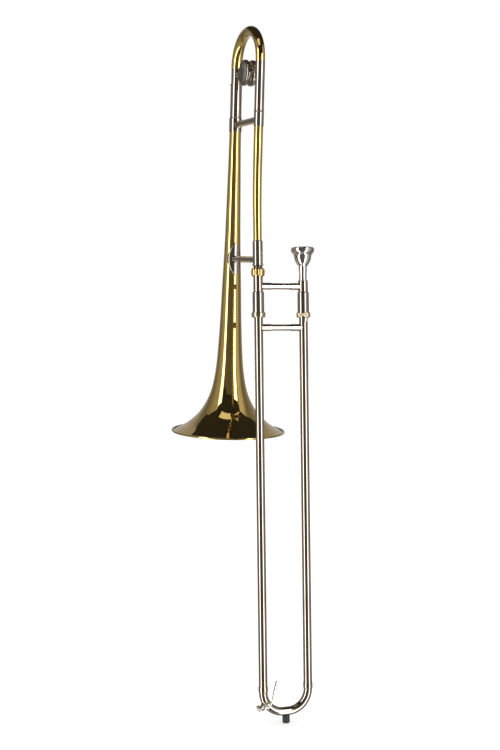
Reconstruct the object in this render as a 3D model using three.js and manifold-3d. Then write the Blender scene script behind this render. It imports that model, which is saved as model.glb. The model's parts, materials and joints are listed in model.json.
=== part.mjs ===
// Tenor trombone: bell section, tuning slide, hand slide, mouthpiece and water key.
// Millimetres, +Z up along the hand slide, origin at the centre of the bell mouth.
import * as THREE from 'three';
import { mergeVertices } from 'three/addons/utils/BufferGeometryUtils.js';
import Module from 'manifold-3d';

const wasm = await Module();
wasm.setup();

// Sizes that every piece shares
const seatGap = 0.3; // clearance between two pieces that seat on each other
const cutOverrun = 4; // how far a cutting shape runs past what it cuts
const weldDistance = 0.0005; // points nearer than this are one point
const bellSides = 32;
const tubeSides = 16;
const braceSides = 14;
const smallSides = 10;
const mouthpieceSides = 22;

// How the two halves of the instrument stand to each other
const slideOffset = 145.5; // bell-side slide tube from the centre of the bell mouth
const slidePlaneDegrees = 94.8; // from the plane of the slide round to the plane of the bell
const bellTiltDegrees = 5.67; // the bell spreads away from the slide by this
const jointHeight = 287.2; // lip of the slide receiver above the bell mouth

// Bell
const bellLength = 545;
const mouthRadius = 102.2;
const bellWall = 0.5;
const rimBeadRadius = 1.9;
const rimOpeningDegrees = 120; // where the rolled rim ends, counted from straight out
const bellSamples = 16;
// outline of the flare from rim to tail: [share of the bell's length, share of the mouth radius]
const bellOutlineShares = [
  [0.003, 0.954], [0.0059, 0.925], [0.0128, 0.856], [0.0257, 0.739], [0.0404, 0.641],
  [0.055, 0.558], [0.0734, 0.48], [0.0954, 0.409], [0.128, 0.332], [0.169, 0.275],
  [0.22, 0.235], [0.294, 0.2055], [0.385, 0.182], [0.477, 0.1655], [0.624, 0.136],
  [0.771, 0.1185], [0.917, 0.1025], [1, 0.0995],
];

// Ferrule and sleeve where the tuning slide enters the bell side
const bellFerruleRadius = 10.95;
const bellFerruleLength = 24.1;
const bellFerruleOverlap = 14.1; // length of bell tail inside the ferrule
const bellSleeveRadius = 9.95;
const bellSleeveWall = 0.4;
const bellSleeveLength = 57.6; // above the ferrule
const bellSleeveInsertion = 7; // inside the ferrule
const endRingRadius = 0.75; // how far an end ring stands out of its tube
const endRingLength = 1.8;

// Neckpipe, its ferrule and the tube that the tuning slide runs on
const legSpacing = 104; // bell tube to neckpipe, between the tuning slide's legs
const neckBendRadius = 1000;
const neckLowerRadius = 7;
const neckUpperRadius = 7.7;
const neckWall = 0.5;
const neckFerruleRadius = 8.4;
const neckFerruleLength = 25;
const neckFerruleOverlap = 11; // length of neckpipe inside the ferrule
const neckTubeRadius = 7.3;
const neckTubeWall = 0.5;
const neckTubeLength = 90;

// Slide receiver at the lower end of the neckpipe
const receiverRadius = 8.5;
const receiverLength = 41;
const receiverBore = 6.8;
const receiverSocketDepth = 22; // holds the neckpipe
const receiverLipRadius = 9.8;
const receiverLipHalf = 0.8;
const threadRadius = 7.8;
const threadDepth = 0.4;
const threadPitch = 2;
const threadLength = 12;

// Braces of the bell section
const bellBraceRadius = 5.5;
const bellBraceCollar = 0.9; // how far the collars at its ends stand out
const bellBraceCollarLength = 4.5;
const upperBraceRise = 11.7; // above the lower ends of the ferrules
const lowerBraceRise = 8.9; // above the receiver's lip
const flangeThickness = 1;
const flangeHalfHeight = 30;
const flangeHalfWidth = 12.4;

// Tuning slide: a wide bow on two legs, with a brace that carries the balance discs
const bowStraight = 4; // straight ends of the brass bow
const bowNeckRadius = 7.85;
const bowBellRadius = 9.6;
const bowWall = 0.5;
const legTenonLength = 3.6; // of each leg inside the bow
const legWall = 0.6;
const bellLegRadius = 9.25;
const bellLegLength = 100;
const neckLegRadius = 8.1;
const neckLegLength = 82.2; // from the neck ferrule up to the bow
const neckLegShoulder = 1.2; // closes the leg round its tenon
const tuningBraceDrop = 10.4; // below the legs' upper ends
const tuningBraceRadius = 4.6;
const discRadius = 21.9;
const discThickness = 7.6;
const discEdgeRadius = 2.6;
const discSpacing = 13; // centre to centre
const discRise = -2.8; // centres from the brace, negative below it
const clampScrewRadius = 2;
const clampScrewRise = 8; // above the brace
const clampHeadRadius = 3.6;
const clampHeadDepth = 2.2;

// Hand slide tubes
const slideSpacing = 80.5;
const outerTubeRadius = 7.3;
const outerTubeWall = 0.4;
const innerTubeWall = 0.5;
const stockingStep = 0.15; // the swelled lower end is larger than the tube by this
const stockingLength = 150;
const innerTubeShortfall = 14; // inner tubes end this far above the bow ferrules

// Upper fittings of the inner slide, with drops counted down from the receiver's lip
const tenonRadius = 6.5;
const tenonWall = 0.6;
const tenonRise = 17; // into the receiver, above its lip
const collarRadius = 9.3;
const collarLength = 2.6;
const tenonStepDrop = 18; // the inner tube's upper end sits under this step
const upperTubeRadius = 8;
const nutDrop = 5.4;
const nutLength = 13.6;
const nutRadius = 11.4;
const nutEndRadius = 10.3;
const nutFloor = 2.8;
const knurlDepth = 0.45;
const knurlCount = 16;
const barrelDrop = 44.9;
const barrelLength = 39.1;
const barrelRadius = 9.75;
const barrelWall = 0.65;
const barrelRoof = 1.6;
const barrelFlange = 0.85; // the foot stands out by this inside the ring
const barrelFlangeLength = 2.4;
const upperTubeInsertion = 10; // of the tubes above, inside the barrels
const barrelRingRadius = 11.75;
const barrelRingDrop = 79.5;
const barrelRingLength = 8.6;
const barrelRingLip = 1.8;
const barrelRingBore = 9.1;
const handBraceDrop = 35.5;
const handBraceRadius = 5.3;
const slideSocketWall = 0.5;
const slideSocketLength = 15;

// Mouthpiece side
const mouthReceiverRadius = 8.35;
const mouthReceiverDrop = 25.4;
const shankDepth = 23;
const shankRadius = 6.35; // where it enters the receiver
const shankTipRadius = 5.75;
const leadpipeLength = 190;
const leadpipeWall = 0.5;
const mouthpieceRise = 31; // rim above the receiver's lip
const mouthpieceRimRadius = 19.9;
const cupRadius = 12.8;
const throatRadius = 3.4;
const backboreRadius = 4.9;

// Outer slide fittings
const outerTubeTopDrop = 60.3;
const topFerruleRadius = 8.2;
const topFerruleLength = 15;
const outerBraceDrop = 105.2;
const outerBraceRadius = 5.3;
const bowFerruleDrop = 710.4;
const bowFerruleLength = 10.2;
const bowFerruleRadius = 8;
const bowTubeRadius = 7.2;
const bowTubeWall = 0.45;
const bowCornerRadius = 35.6;

// Slide lock: a stud on the outer slide that a notched ring catches
const lockStudDegrees = -76;
const lockStudWidth = 6;
const lockStudDepth = 3.3;
const lockStudLength = 7;
const lockNeckDepth = 0.8;
const lockTongueWidth = 4;
const lockTongueThickness = 1.7;
const lockNotchPlay = 0.5; // each side of the tongue

// Rubber foot under the bow
const bumperRadius = 6.25;
const bumperLength = 12.6;
const bumperEdge = 1.8;
const bumperStemRadius = 2.6;
const bumperStemLength = 7.4;
const bumperSeatRadius = 4;
const bumperSeatLength = 1.6;
const bumperCollarRise = 1.5; // the rubber laps up round the bow by this

// Water key at the bow's lower corner, in the corner's own axes: along, out to the front, outward
const waterKeyDegrees = 31; // round the bow's corner, from level
const nippleRadius = 2.8;
const nippleBore = 1.4;
const nippleHeight = 12.4;
const padRadius = 4.1;
const padThickness = 3.6;
const padCupWall = 0.5;
const padCupFloor = 1.5;
const padCupSkirt = 1.6;
const pivotForward = 11.8;
const pivotOutward = 3.8;
const pivotTubeRadius = 2.6;
const pivotTubeHalf = 3.5;
const pivotScrewRadius = 1;
const pivotScrewHeadRadius = 1.9;
const pivotScrewHeadLength = 1.1;
const earThickness = 1.4;
const earRadius = 2.1;
const saddleHalfWidth = 3.4;
const saddleThickness = 1;
const padArmWidth = 3;
const padArmThickness = 1.5;
const padArmReach = 7.5; // forward of the pad before it turns down to the pivot
const padArmDrop = 4.8;
const touchThickness = 1.5;
const touchRootWidth = 3.2;
const touchTipWidth = 5.6;
const touchElbowAlong = 1.3; // places along the bow, and outward from its centre line
const touchElbowOutward = -3.5;
const touchTipAlong = -24.2;
const touchTipOutward = -31.2;
const springWireRadius = 0.3;
const springTurns = 3;
const springPitch = 0.8;
const springLegLength = 3;

// Finishes
const polishedBrass = { color: 0x9a7f2e, roughness: 0.16, metalness: 1 };
const paleBrass = { color: 0xc9b173, roughness: 0.25, metalness: 1 };
const goldBrass = { color: 0xc99b45, roughness: 0.35, metalness: 1 };
const nickelSilver = { color: 0x9c9285, roughness: 0.14, metalness: 1 };
const silverPlate = { color: 0xb8b2ac, roughness: 0.12, metalness: 1 };
const brightSteel = { color: 0x8d8a86, roughness: 0.3, metalness: 1 };
const naturalCork = { color: 0x8a5f3c, roughness: 0.9, metalness: 0 };
const blackRubber = { color: 0x1c1c1e, roughness: 0.75, metalness: 0 };

// Signed volume of a closed mesh, negative when its faces point inward
function signedVolume(geometry) {
  const spots = geometry.getAttribute('position');
  const index = geometry.index.array;
  const [a, b, c] = [new THREE.Vector3(), new THREE.Vector3(), new THREE.Vector3()];
  let sum = 0;
  for (let i = 0; i < index.length; i += 3) {
    a.fromBufferAttribute(spots, index[i]);
    b.fromBufferAttribute(spots, index[i + 1]);
    c.fromBufferAttribute(spots, index[i + 2]);
    sum += a.dot(b.cross(c));
  }
  return sum / 6;
}

// Merges shared points, drops empty triangles and turns the faces outward
function closed(geometry) {
  const bare = new THREE.BufferGeometry();
  bare.setAttribute('position', geometry.getAttribute('position').clone());
  bare.setIndex(geometry.index ? geometry.index.clone() : null);
  const merged = mergeVertices(bare, weldDistance);
  const index = merged.index.array;
  const kept = [];
  for (let i = 0; i < index.length; i += 3) {
    const corners = [index[i], index[i + 1], index[i + 2]];
    if (new Set(corners).size === 3) kept.push(...corners);
  }
  merged.setIndex(kept);
  if (signedVolume(merged) < 0) merged.setIndex(kept.reverse());
  return merged;
}

// Turns a profile of [radius, height] points, closed on itself, about the Z axis
function revolve(profile, sides = tubeSides) {
  const points = [...profile, profile[0]].map(([radius, height]) => new THREE.Vector2(radius, height));
  return closed(new THREE.LatheGeometry(points, sides).rotateX(Math.PI / 2));
}

// Plain pipe along Z
function pipe(outer, inner, bottom, top, sides = tubeSides) {
  return revolve([[inner, bottom], [outer, bottom], [outer, top], [inner, top]], sides);
}

// Solid bar along X, Y or Z between two places on that axis
function bar(axis, radius, from, to, sides = braceSides) {
  const shape = new THREE.CylinderGeometry(radius, radius, to - from, sides);
  shape.translate(0, (from + to) / 2, 0);
  if (axis === 'x') shape.rotateZ(-Math.PI / 2);
  if (axis === 'z') shape.rotateX(Math.PI / 2);
  return closed(shape);
}

// Box between two corners
function block(low, high) {
  const size = high.map((value, i) => value - low[i]);
  const shape = new THREE.BoxGeometry(...size);
  return closed(shape.translate(...low.map((value, i) => value + size[i] / 2)));
}

// Plate with a closed outline of [u, v] points, extruded along the third axis
function plate(outline, depth) {
  const shape = new THREE.Shape(outline.map(([u, v]) => new THREE.Vector2(u, v)));
  return closed(new THREE.ExtrudeGeometry(shape, { depth, bevelEnabled: false, curveSegments: 8 }));
}

function toManifold(geometry) {
  return new wasm.Manifold(new wasm.Mesh({
    numProp: 3,
    vertProperties: new Float32Array(geometry.getAttribute('position').array),
    triVerts: new Uint32Array(geometry.index.array),
  }));
}

function fromManifold(solid) {
  const mesh = solid.getMesh();
  const geometry = new THREE.BufferGeometry();
  geometry.setAttribute('position', new THREE.BufferAttribute(new Float32Array(mesh.vertProperties), 3));
  geometry.setIndex([...mesh.triVerts]);
  return geometry;
}

function cut(geometry, ...tools) {
  const rest = tools.reduce((solid, tool) => solid.subtract(toManifold(tool)), toManifold(geometry));
  return fromManifold(rest);
}

function join(geometry, ...others) {
  return fromManifold(others.reduce((solid, other) => solid.add(toManifold(other)), toManifold(geometry)));
}

function overlapOf(geometry, other) {
  return fromManifold(toManifold(geometry).intersect(toManifold(other)));
}

// Radius of a round cutter whose flats clear a neighbour of the given radius by the seat gap
function clearOf(radius, sides = tubeSides) {
  return (radius + seatGap) / Math.cos(Math.PI / sides);
}

// Path in the XZ plane from straight runs and bends: stations with a place, a side vector and a share
function planarPath(start, headingDegrees, runs) {
  let heading = THREE.MathUtils.degToRad(headingDegrees);
  let place = new THREE.Vector3(start[0], 0, start[1]);
  let travelled = 0;
  const stations = [];
  const record = () => stations.push({ place: place.clone(), heading, travelled });
  record();
  for (const run of runs) {
    const turn = THREE.MathUtils.degToRad(run.degrees ?? 0) / run.steps;
    const stride = run.degrees ? 2 * run.radius * Math.sin(Math.abs(turn) / 2) : run.length / run.steps;
    for (let i = 0; i < run.steps; i += 1) {
      heading += turn / 2;
      place.add(new THREE.Vector3(Math.cos(heading), 0, Math.sin(heading)).multiplyScalar(stride));
      heading += turn / 2;
      travelled += stride;
      record();
    }
  }
  return stations.map((station) => ({
    place: station.place,
    side: new THREE.Vector3(-Math.sin(station.heading), 0, Math.cos(station.heading)),
    share: station.travelled / travelled,
  }));
}

// Hollow tube with open ends carried along a planar path, its outer radius given by the share
function sweptTube(stations, radiusAt, wall, sides = tubeSides) {
  const spots = [];
  for (const inner of [0, 1]) {
    for (const station of stations) {
      const radius = radiusAt(station.share) - inner * wall;
      for (let i = 0; i < sides; i += 1) {
        const angle = (2 * Math.PI * i) / sides;
        const spot = station.place.clone().addScaledVector(station.side, radius * Math.cos(angle));
        spot.y += radius * Math.sin(angle);
        spots.push(spot.x, spot.y, spot.z);
      }
    }
  }
  const count = stations.length;
  const at = (inner, ring, i) => (inner * count + ring) * sides + (i % sides);
  const index = [];
  const quad = (a, b, c, d) => index.push(a, b, c, a, c, d);
  for (let i = 0; i < sides; i += 1) {
    for (let ring = 0; ring < count - 1; ring += 1) {
      quad(at(0, ring, i), at(0, ring, i + 1), at(0, ring + 1, i + 1), at(0, ring + 1, i));
      quad(at(1, ring, i), at(1, ring + 1, i), at(1, ring + 1, i + 1), at(1, ring, i + 1));
    }
    quad(at(0, 0, i), at(1, 0, i), at(1, 0, i + 1), at(0, 0, i + 1));
    quad(at(0, count - 1, i), at(0, count - 1, i + 1), at(1, count - 1, i + 1), at(1, count - 1, i));
  }
  const geometry = new THREE.BufferGeometry();
  geometry.setAttribute('position', new THREE.Float32BufferAttribute(spots, 3));
  geometry.setIndex(index);
  return closed(geometry);
}

// The frames that the pieces are placed in
const trombone = new THREE.Group();
const bellTilt = THREE.MathUtils.degToRad(bellTiltDegrees);
const bellPlane = THREE.MathUtils.degToRad(slidePlaneDegrees);
const bellFrame = new THREE.Group();
bellFrame.rotation.set(0, bellTilt, bellPlane + Math.PI, 'ZYX');
const slideFrame = new THREE.Group();
slideFrame.position.set(-slideOffset * Math.cos(bellPlane), -slideOffset * Math.sin(bellPlane), 0);
trombone.add(bellFrame, slideFrame);
trombone.updateMatrixWorld(true);
const slideInBell = bellFrame.matrixWorld.clone().invert().multiply(slideFrame.matrixWorld);

// Heights along the bell, each from the piece that it goes with
const ferruleHeight = bellLength - bellFerruleOverlap;
const upperBraceHeight = ferruleHeight + upperBraceRise;
const lowerBraceLevel = jointHeight + lowerBraceRise;
const lowerBraceHeight = slideOffset * Math.sin(bellTilt) + lowerBraceLevel * Math.cos(bellTilt);
const neckLegFoot = ferruleHeight + neckFerruleLength + seatGap;
const bowJointHeight = neckLegFoot + neckLegLength;
const tuningBraceHeight = bowJointHeight - tuningBraceDrop;

function addPiece(frame, name, finish, geometry) {
  const mesh = new THREE.Mesh(geometry, new THREE.MeshStandardMaterial(finish));
  mesh.name = name;
  frame.add(mesh);
}

// Outer surface of the bell as points of radius and height, and the same surface set off sideways
function bellOutline(offset, samples = bellSamples) {
  const points = bellOutlineShares.map(([height, radius]) => new THREE.Vector2(
    radius * mouthRadius,
    height * bellLength,
  ));
  const curve = new THREE.SplineCurve(points);
  const outline = [];
  for (let i = 0; i <= samples; i += 1) {
    const share = i / samples;
    const point = curve.getPoint(share);
    const along = curve.getTangent(share);
    outline.push([point.x + along.y * offset, point.y - along.x * offset]);
  }
  outline[samples][1] = bellLength;
  return outline;
}

function addBell() {
  const beadCentre = [mouthRadius - rimBeadRadius, rimBeadRadius];
  const bead = (radius, degrees) => {
    const angle = THREE.MathUtils.degToRad(degrees);
    return [beadCentre[0] + radius * Math.cos(angle), beadCentre[1] + radius * Math.sin(angle)];
  };
  const rollDegrees = [-90, -30, 30, 90, rimOpeningDegrees];
  const outside = bellOutline(0);
  const inside = bellOutline(-bellWall);
  const profile = [
    ...inside.reverse(),
    ...rollDegrees.map((degrees) => bead(rimBeadRadius, degrees)),
    ...rollDegrees.toReversed().map((degrees) => bead(rimBeadRadius - bellWall, degrees)),
    ...outside,
  ];
  addPiece(bellFrame, 'bell', polishedBrass, revolve(profile, bellSides));
  const wireRadius = rimBeadRadius - bellWall - seatGap;
  const wire = new THREE.TorusGeometry(beadCentre[0], wireRadius, 6, bellSides);
  wire.translate(0, 0, beadCentre[1]);
  addPiece(bellFrame, 'bell_rim_wire', brightSteel, closed(wire));
}

function addBellSleeve() {
  const ferruleTop = ferruleHeight + bellFerruleLength;
  const tailRadius = bellOutlineShares.at(-1)[1] * mouthRadius;
  const step = ferruleHeight + bellFerruleOverlap + seatGap;
  addPiece(bellFrame, 'bell_tail_ferrule', nickelSilver, revolve([
    [tailRadius + seatGap, ferruleHeight],
    [bellFerruleRadius, ferruleHeight],
    [bellFerruleRadius, ferruleTop],
    [bellSleeveRadius + seatGap, ferruleTop],
    [bellSleeveRadius + seatGap, step],
    [tailRadius + seatGap, step],
  ], tubeSides));
  const sleeveBottom = ferruleTop - bellSleeveInsertion;
  const sleeveTop = ferruleTop + bellSleeveLength;
  const sleeveBore = bellSleeveRadius - bellSleeveWall;
  const sleeve = pipe(bellSleeveRadius, sleeveBore, sleeveBottom, sleeveTop);
  addPiece(bellFrame, 'bell_tuning_sleeve', nickelSilver, sleeve);
  addPiece(bellFrame, 'bell_sleeve_ring', nickelSilver, pipe(
    bellSleeveRadius + seatGap + endRingRadius,
    bellSleeveRadius + seatGap,
    sleeveTop - endRingLength,
    sleeveTop,
  ));
}

// Height along the slide axis where it meets the line of the neckpipe's upper run
function neckBendHeight() {
  return (slideOffset * Math.cos(bellTilt) - legSpacing) / Math.sin(bellTilt);
}

function addNeckpipe() {
  const start = jointHeight + receiverLength - receiverSocketDepth + seatGap;
  const tangent = neckBendRadius * Math.tan(bellTilt / 2);
  const lower = neckBendHeight() - tangent - start;
  const bendTop = slideOffset * Math.sin(bellTilt) + neckBendHeight() * Math.cos(bellTilt) + tangent;
  const upper = ferruleHeight + neckFerruleOverlap - bendTop;
  const foot = new THREE.Vector3(0, 0, start).applyMatrix4(slideInBell);
  const path = planarPath([foot.x, foot.z], 90 + bellTiltDegrees, [
    { length: lower, steps: 1 },
    { radius: neckBendRadius, degrees: -bellTiltDegrees, steps: 6 },
    { length: upper, steps: 1 },
  ]);
  const radiusAt = (share) => neckLowerRadius + (neckUpperRadius - neckLowerRadius) * share;
  addPiece(bellFrame, 'neckpipe', polishedBrass, sweptTube(path, radiusAt, neckWall));
  const ferruleTop = ferruleHeight + neckFerruleLength;
  const step = ferruleHeight + neckFerruleOverlap + seatGap;
  const ferrule = revolve([
    [neckUpperRadius + seatGap, ferruleHeight],
    [neckFerruleRadius, ferruleHeight],
    [neckFerruleRadius, ferruleTop],
    [neckTubeRadius + seatGap, ferruleTop],
    [neckTubeRadius + seatGap, step],
    [neckUpperRadius + seatGap, step],
  ]).translate(legSpacing, 0, 0);
  addPiece(bellFrame, 'neckpipe_ferrule', nickelSilver, ferrule);
  const tube = pipe(neckTubeRadius, neckTubeRadius - neckTubeWall, step, step + neckTubeLength);
  addPiece(bellFrame, 'neck_tuning_tube', nickelSilver, tube.translate(legSpacing, 0, 0));
}

function addSlideReceiver() {
  const lip = jointHeight;
  const socketBottom = lip + receiverLength - receiverSocketDepth;
  const threadEnd = lip - receiverLipHalf - threadLength;
  const crests = Math.floor(threadLength / threadPitch);
  const thread = [];
  for (let i = 0; i < crests; i += 1) {
    const top = lip - receiverLipHalf - i * threadPitch;
    thread.unshift([threadRadius, top - threadPitch / 2], [threadRadius - threadDepth, top]);
  }
  addPiece(slideFrame, 'slide_receiver', nickelSilver, revolve([
    [receiverBore, threadEnd],
    [threadRadius - threadDepth, threadEnd],
    ...thread,
    [receiverLipRadius, lip - receiverLipHalf],
    [receiverLipRadius, lip + receiverLipHalf],
    [receiverRadius, lip + receiverLipHalf],
    [receiverRadius, lip + receiverLength],
    [neckLowerRadius + 2 * seatGap, lip + receiverLength],
    [neckLowerRadius + 2 * seatGap, socketBottom],
    [receiverBore, socketBottom],
  ], tubeSides));
}

// Round cutter that clears the upright tube which a brace ends on by the seat gap
function uprightClearance(brace, radius, along) {
  const reach = brace.radius + brace.collar + cutOverrun;
  const cutterFoot = brace.height - reach;
  const cutter = bar('z', clearOf(radius, tubeSides), cutterFoot, brace.height + reach, tubeSides);
  return cutter.translate(along, 0, 0);
}

// A rod along X between two uprights, with a collar round each end, all cut to the uprights
function addBrace(frame, names, brace) {
  const cutters = [
    brace.nearCutter ?? uprightClearance(brace, brace.nearRadius, 0),
    brace.farCutter ?? uprightClearance(brace, brace.farRadius, brace.span),
  ];
  const rod = bar('x', brace.radius, 0, brace.span).translate(0, 0, brace.height);
  addPiece(frame, names[0], nickelSilver, cut(rod, ...cutters));
  const bore = clearOf(brace.radius, braceSides);
  const collar = (low, high) => {
    const ring = cut(
      bar('x', bore + brace.collar, low, high),
      bar('x', bore, low - cutOverrun, high + cutOverrun),
    );
    return cut(ring.translate(0, 0, brace.height), ...cutters);
  };
  addPiece(frame, names[1], nickelSilver, collar(0, brace.nearRadius + brace.collarLength));
  const farCollarFrom = brace.span - brace.farRadius - brace.collarLength;
  addPiece(frame, names[2], nickelSilver, collar(farCollarFrom, brace.span));
}

function addUpperBellBrace() {
  addBrace(bellFrame, ['upper_brace_rod', 'upper_brace_bell_collar', 'upper_brace_neck_collar'], {
    span: legSpacing,
    height: upperBraceHeight,
    radius: bellBraceRadius,
    collar: bellBraceCollar,
    collarLength: bellBraceCollarLength,
    nearRadius: bellFerruleRadius,
    farRadius: neckFerruleRadius,
  });
}

// Solid body that follows the bell's outer surface, set off outward
function bellCore(offset) {
  const outline = bellOutline(offset);
  return revolve([[0, outline[0][1]], ...outline, [0, bellLength]], bellSides);
}

function addLowerBellBrace() {
  const flangeOffset = seatGap / Math.cos(Math.PI / bellSides);
  const shell = cut(bellCore(flangeOffset + flangeThickness), bellCore(flangeOffset));
  const sweep = (flangeHalfHeight ** 2 + flangeHalfWidth ** 2) / (2 * flangeHalfWidth);
  const half = Math.asin(flangeHalfHeight / sweep);
  const lens = new THREE.Shape();
  lens.absarc(flangeHalfWidth - sweep, 0, sweep, -half, half, false);
  lens.absarc(sweep - flangeHalfWidth, 0, sweep, Math.PI - half, Math.PI + half, false);
  const depth = legSpacing / 2;
  const prism = new THREE.ExtrudeGeometry(lens, { depth, bevelEnabled: false, curveSegments: 10 });
  const sideways = new THREE.Matrix4().makeBasis(
    new THREE.Vector3(0, 1, 0),
    new THREE.Vector3(0, 0, 1),
    new THREE.Vector3(1, 0, 0),
  );
  const outline = closed(prism.applyMatrix4(sideways)).translate(0, 0, lowerBraceHeight);
  addPiece(bellFrame, 'lower_brace_flange', nickelSilver, overlapOf(shell, outline));
  const receiver = bar('z', clearOf(receiverRadius), jointHeight, jointHeight + receiverLength, tubeSides);
  const far = slideOffset * Math.cos(bellTilt)
    - Math.tan(bellTilt) * (lowerBraceHeight - slideOffset * Math.sin(bellTilt));
  addBrace(bellFrame, ['lower_brace_rod', 'lower_brace_bell_collar', 'lower_brace_neck_collar'], {
    span: far,
    height: lowerBraceHeight,
    radius: bellBraceRadius,
    collar: bellBraceCollar,
    collarLength: bellBraceCollarLength,
    nearRadius: bellRadiusAt(lowerBraceHeight),
    farRadius: receiverRadius,
    nearCutter: bellCore(flangeOffset + flangeThickness + seatGap),
    farCutter: receiver.applyMatrix4(slideInBell),
  });
}

function bellRadiusAt(height) {
  const outline = bellOutline(0);
  const upper = outline.findIndex((point) => point[1] > height);
  const [low, high] = [outline[upper - 1], outline[upper]];
  return low[0] + ((high[0] - low[0]) * (height - low[1])) / (high[1] - low[1]);
}

function addTuningSlide() {
  const joint = bowJointHeight;
  const path = planarPath([legSpacing, joint], 90, [
    { length: bowStraight, steps: 1 },
    { radius: legSpacing / 2, degrees: 180, steps: 12 },
    { length: bowStraight, steps: 1 },
  ]);
  const radiusAt = (share) => bowNeckRadius + (bowBellRadius - bowNeckRadius) * share;
  addPiece(bellFrame, 'tuning_bow', polishedBrass, sweptTube(path, radiusAt, bowWall));
  const bellTenon = bowBellRadius - bowWall - seatGap;
  addPiece(bellFrame, 'tuning_bell_leg', nickelSilver, revolve([
    [bellTenon - legWall, joint - bellLegLength],
    [bellLegRadius, joint - bellLegLength],
    [bellLegRadius, joint - seatGap],
    [bellTenon, joint - seatGap],
    [bellTenon, joint + legTenonLength],
    [bellTenon - legWall, joint + legTenonLength],
  ]));
  const neckTenon = bowNeckRadius - bowWall - seatGap;
  const neckLegBore = neckTubeRadius + seatGap;
  addPiece(bellFrame, 'tuning_neck_leg', nickelSilver, revolve([
    [neckLegBore, neckLegFoot],
    [neckLegRadius + endRingRadius, neckLegFoot],
    [neckLegRadius + endRingRadius, neckLegFoot + endRingLength],
    [neckLegRadius, neckLegFoot + endRingLength],
    [neckLegRadius, joint - seatGap],
    [neckTenon, joint - seatGap],
    [neckTenon, joint + legTenonLength],
    [neckTenon - legWall, joint + legTenonLength],
    [neckTenon - legWall, joint - seatGap - neckLegShoulder],
    [neckLegBore, joint - seatGap - neckLegShoulder],
  ]).translate(legSpacing, 0, 0));
  addBrace(bellFrame, ['tuning_brace_rod', 'tuning_brace_bell_collar', 'tuning_brace_neck_collar'], {
    span: legSpacing,
    height: tuningBraceHeight,
    radius: tuningBraceRadius,
    collar: bellBraceCollar,
    collarLength: bellBraceCollarLength,
    nearRadius: bellLegRadius,
    farRadius: neckLegRadius,
  });
}

// Two round-edged discs clamped on the tuning brace by one screw
function addBalancer() {
  const half = discThickness / 2;
  const edge = [90, 60, 30, 0, -30, -60, -90].map((degrees) => {
    const angle = THREE.MathUtils.degToRad(degrees);
    const flat = half - discEdgeRadius;
    return [
      discRadius - discEdgeRadius + discEdgeRadius * Math.cos(angle),
      Math.sign(degrees) * flat + discEdgeRadius * Math.sin(angle),
    ];
  });
  const middle = legSpacing / 2;
  const groove = bar('x', clearOf(tuningBraceRadius, braceSides), 0, legSpacing);
  groove.translate(0, 0, tuningBraceHeight);
  const screwHeight = tuningBraceHeight + clampScrewRise;
  const face = discSpacing / 2 + half;
  const upright = (shape) => shape.translate(middle, 0, screwHeight);
  const screwHoleRadius = clearOf(clampScrewRadius, smallSides);
  const screwHole = upright(bar('y', screwHoleRadius, -face - cutOverrun, face + cutOverrun, smallSides));
  const headHoleRadius = clearOf(clampHeadRadius, smallSides);
  const headHole = upright(bar('y', headHoleRadius, -face - cutOverrun, clampHeadDepth - face, smallSides));
  for (const [name, side] of [['balance_disc_left', -1], ['balance_disc_right', 1]]) {
    const disc = revolve([[0, half], ...edge, [0, -half]], 2 * braceSides).rotateX(Math.PI / 2);
    disc.translate(middle, (side * discSpacing) / 2, tuningBraceHeight + discRise);
    addPiece(bellFrame, name, nickelSilver, cut(disc, groove, screwHole, headHole));
  }
  const shank = bar('y', clampScrewRadius, -face + seatGap, face - seatGap, smallSides);
  const head = bar('y', clampHeadRadius, -face + seatGap, clampHeadDepth - face - seatGap, smallSides);
  addPiece(bellFrame, 'balance_screw', brightSteel, upright(join(shank, head)));
}

// Barrel, end ring and cork that take the outer slide's upper end
function barrelShapes() {
  const top = jointHeight - barrelDrop;
  const foot = top - barrelLength;
  const hole = upperTubeRadius + seatGap;
  const flangeRadius = barrelRadius + barrelFlange;
  const bore = barrelRadius - barrelWall;
  const barrel = revolve([
    [hole, top],
    [barrelRadius, top],
    [barrelRadius, foot + barrelFlangeLength],
    [flangeRadius, foot + barrelFlangeLength],
    [flangeRadius, foot],
    [bore, foot],
    [bore, top - barrelRoof],
    [hole, top - barrelRoof],
  ]);
  const ringTop = jointHeight - barrelRingDrop;
  const ringFoot = ringTop - barrelRingLength;
  const grooveRadius = flangeRadius + seatGap;
  const ring = revolve([
    [barrelRadius + seatGap, ringTop],
    [barrelRingRadius, ringTop],
    [barrelRingRadius, ringFoot],
    [barrelRingBore, ringFoot],
    [barrelRingBore, ringFoot + barrelRingLip],
    [grooveRadius, ringFoot + barrelRingLip],
    [grooveRadius, ringTop - barrelRingLip],
    [barrelRadius + seatGap, ringTop - barrelRingLip],
  ]);
  const corkTop = top - upperTubeInsertion - seatGap;
  const corkFoot = jointHeight - outerTubeTopDrop + seatGap;
  const cork = pipe(bore - seatGap, outerTubeRadius - outerTubeWall, corkFoot, corkTop);
  return { barrel, ring, cork, foot, ringFoot, grooveRadius };
}

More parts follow.
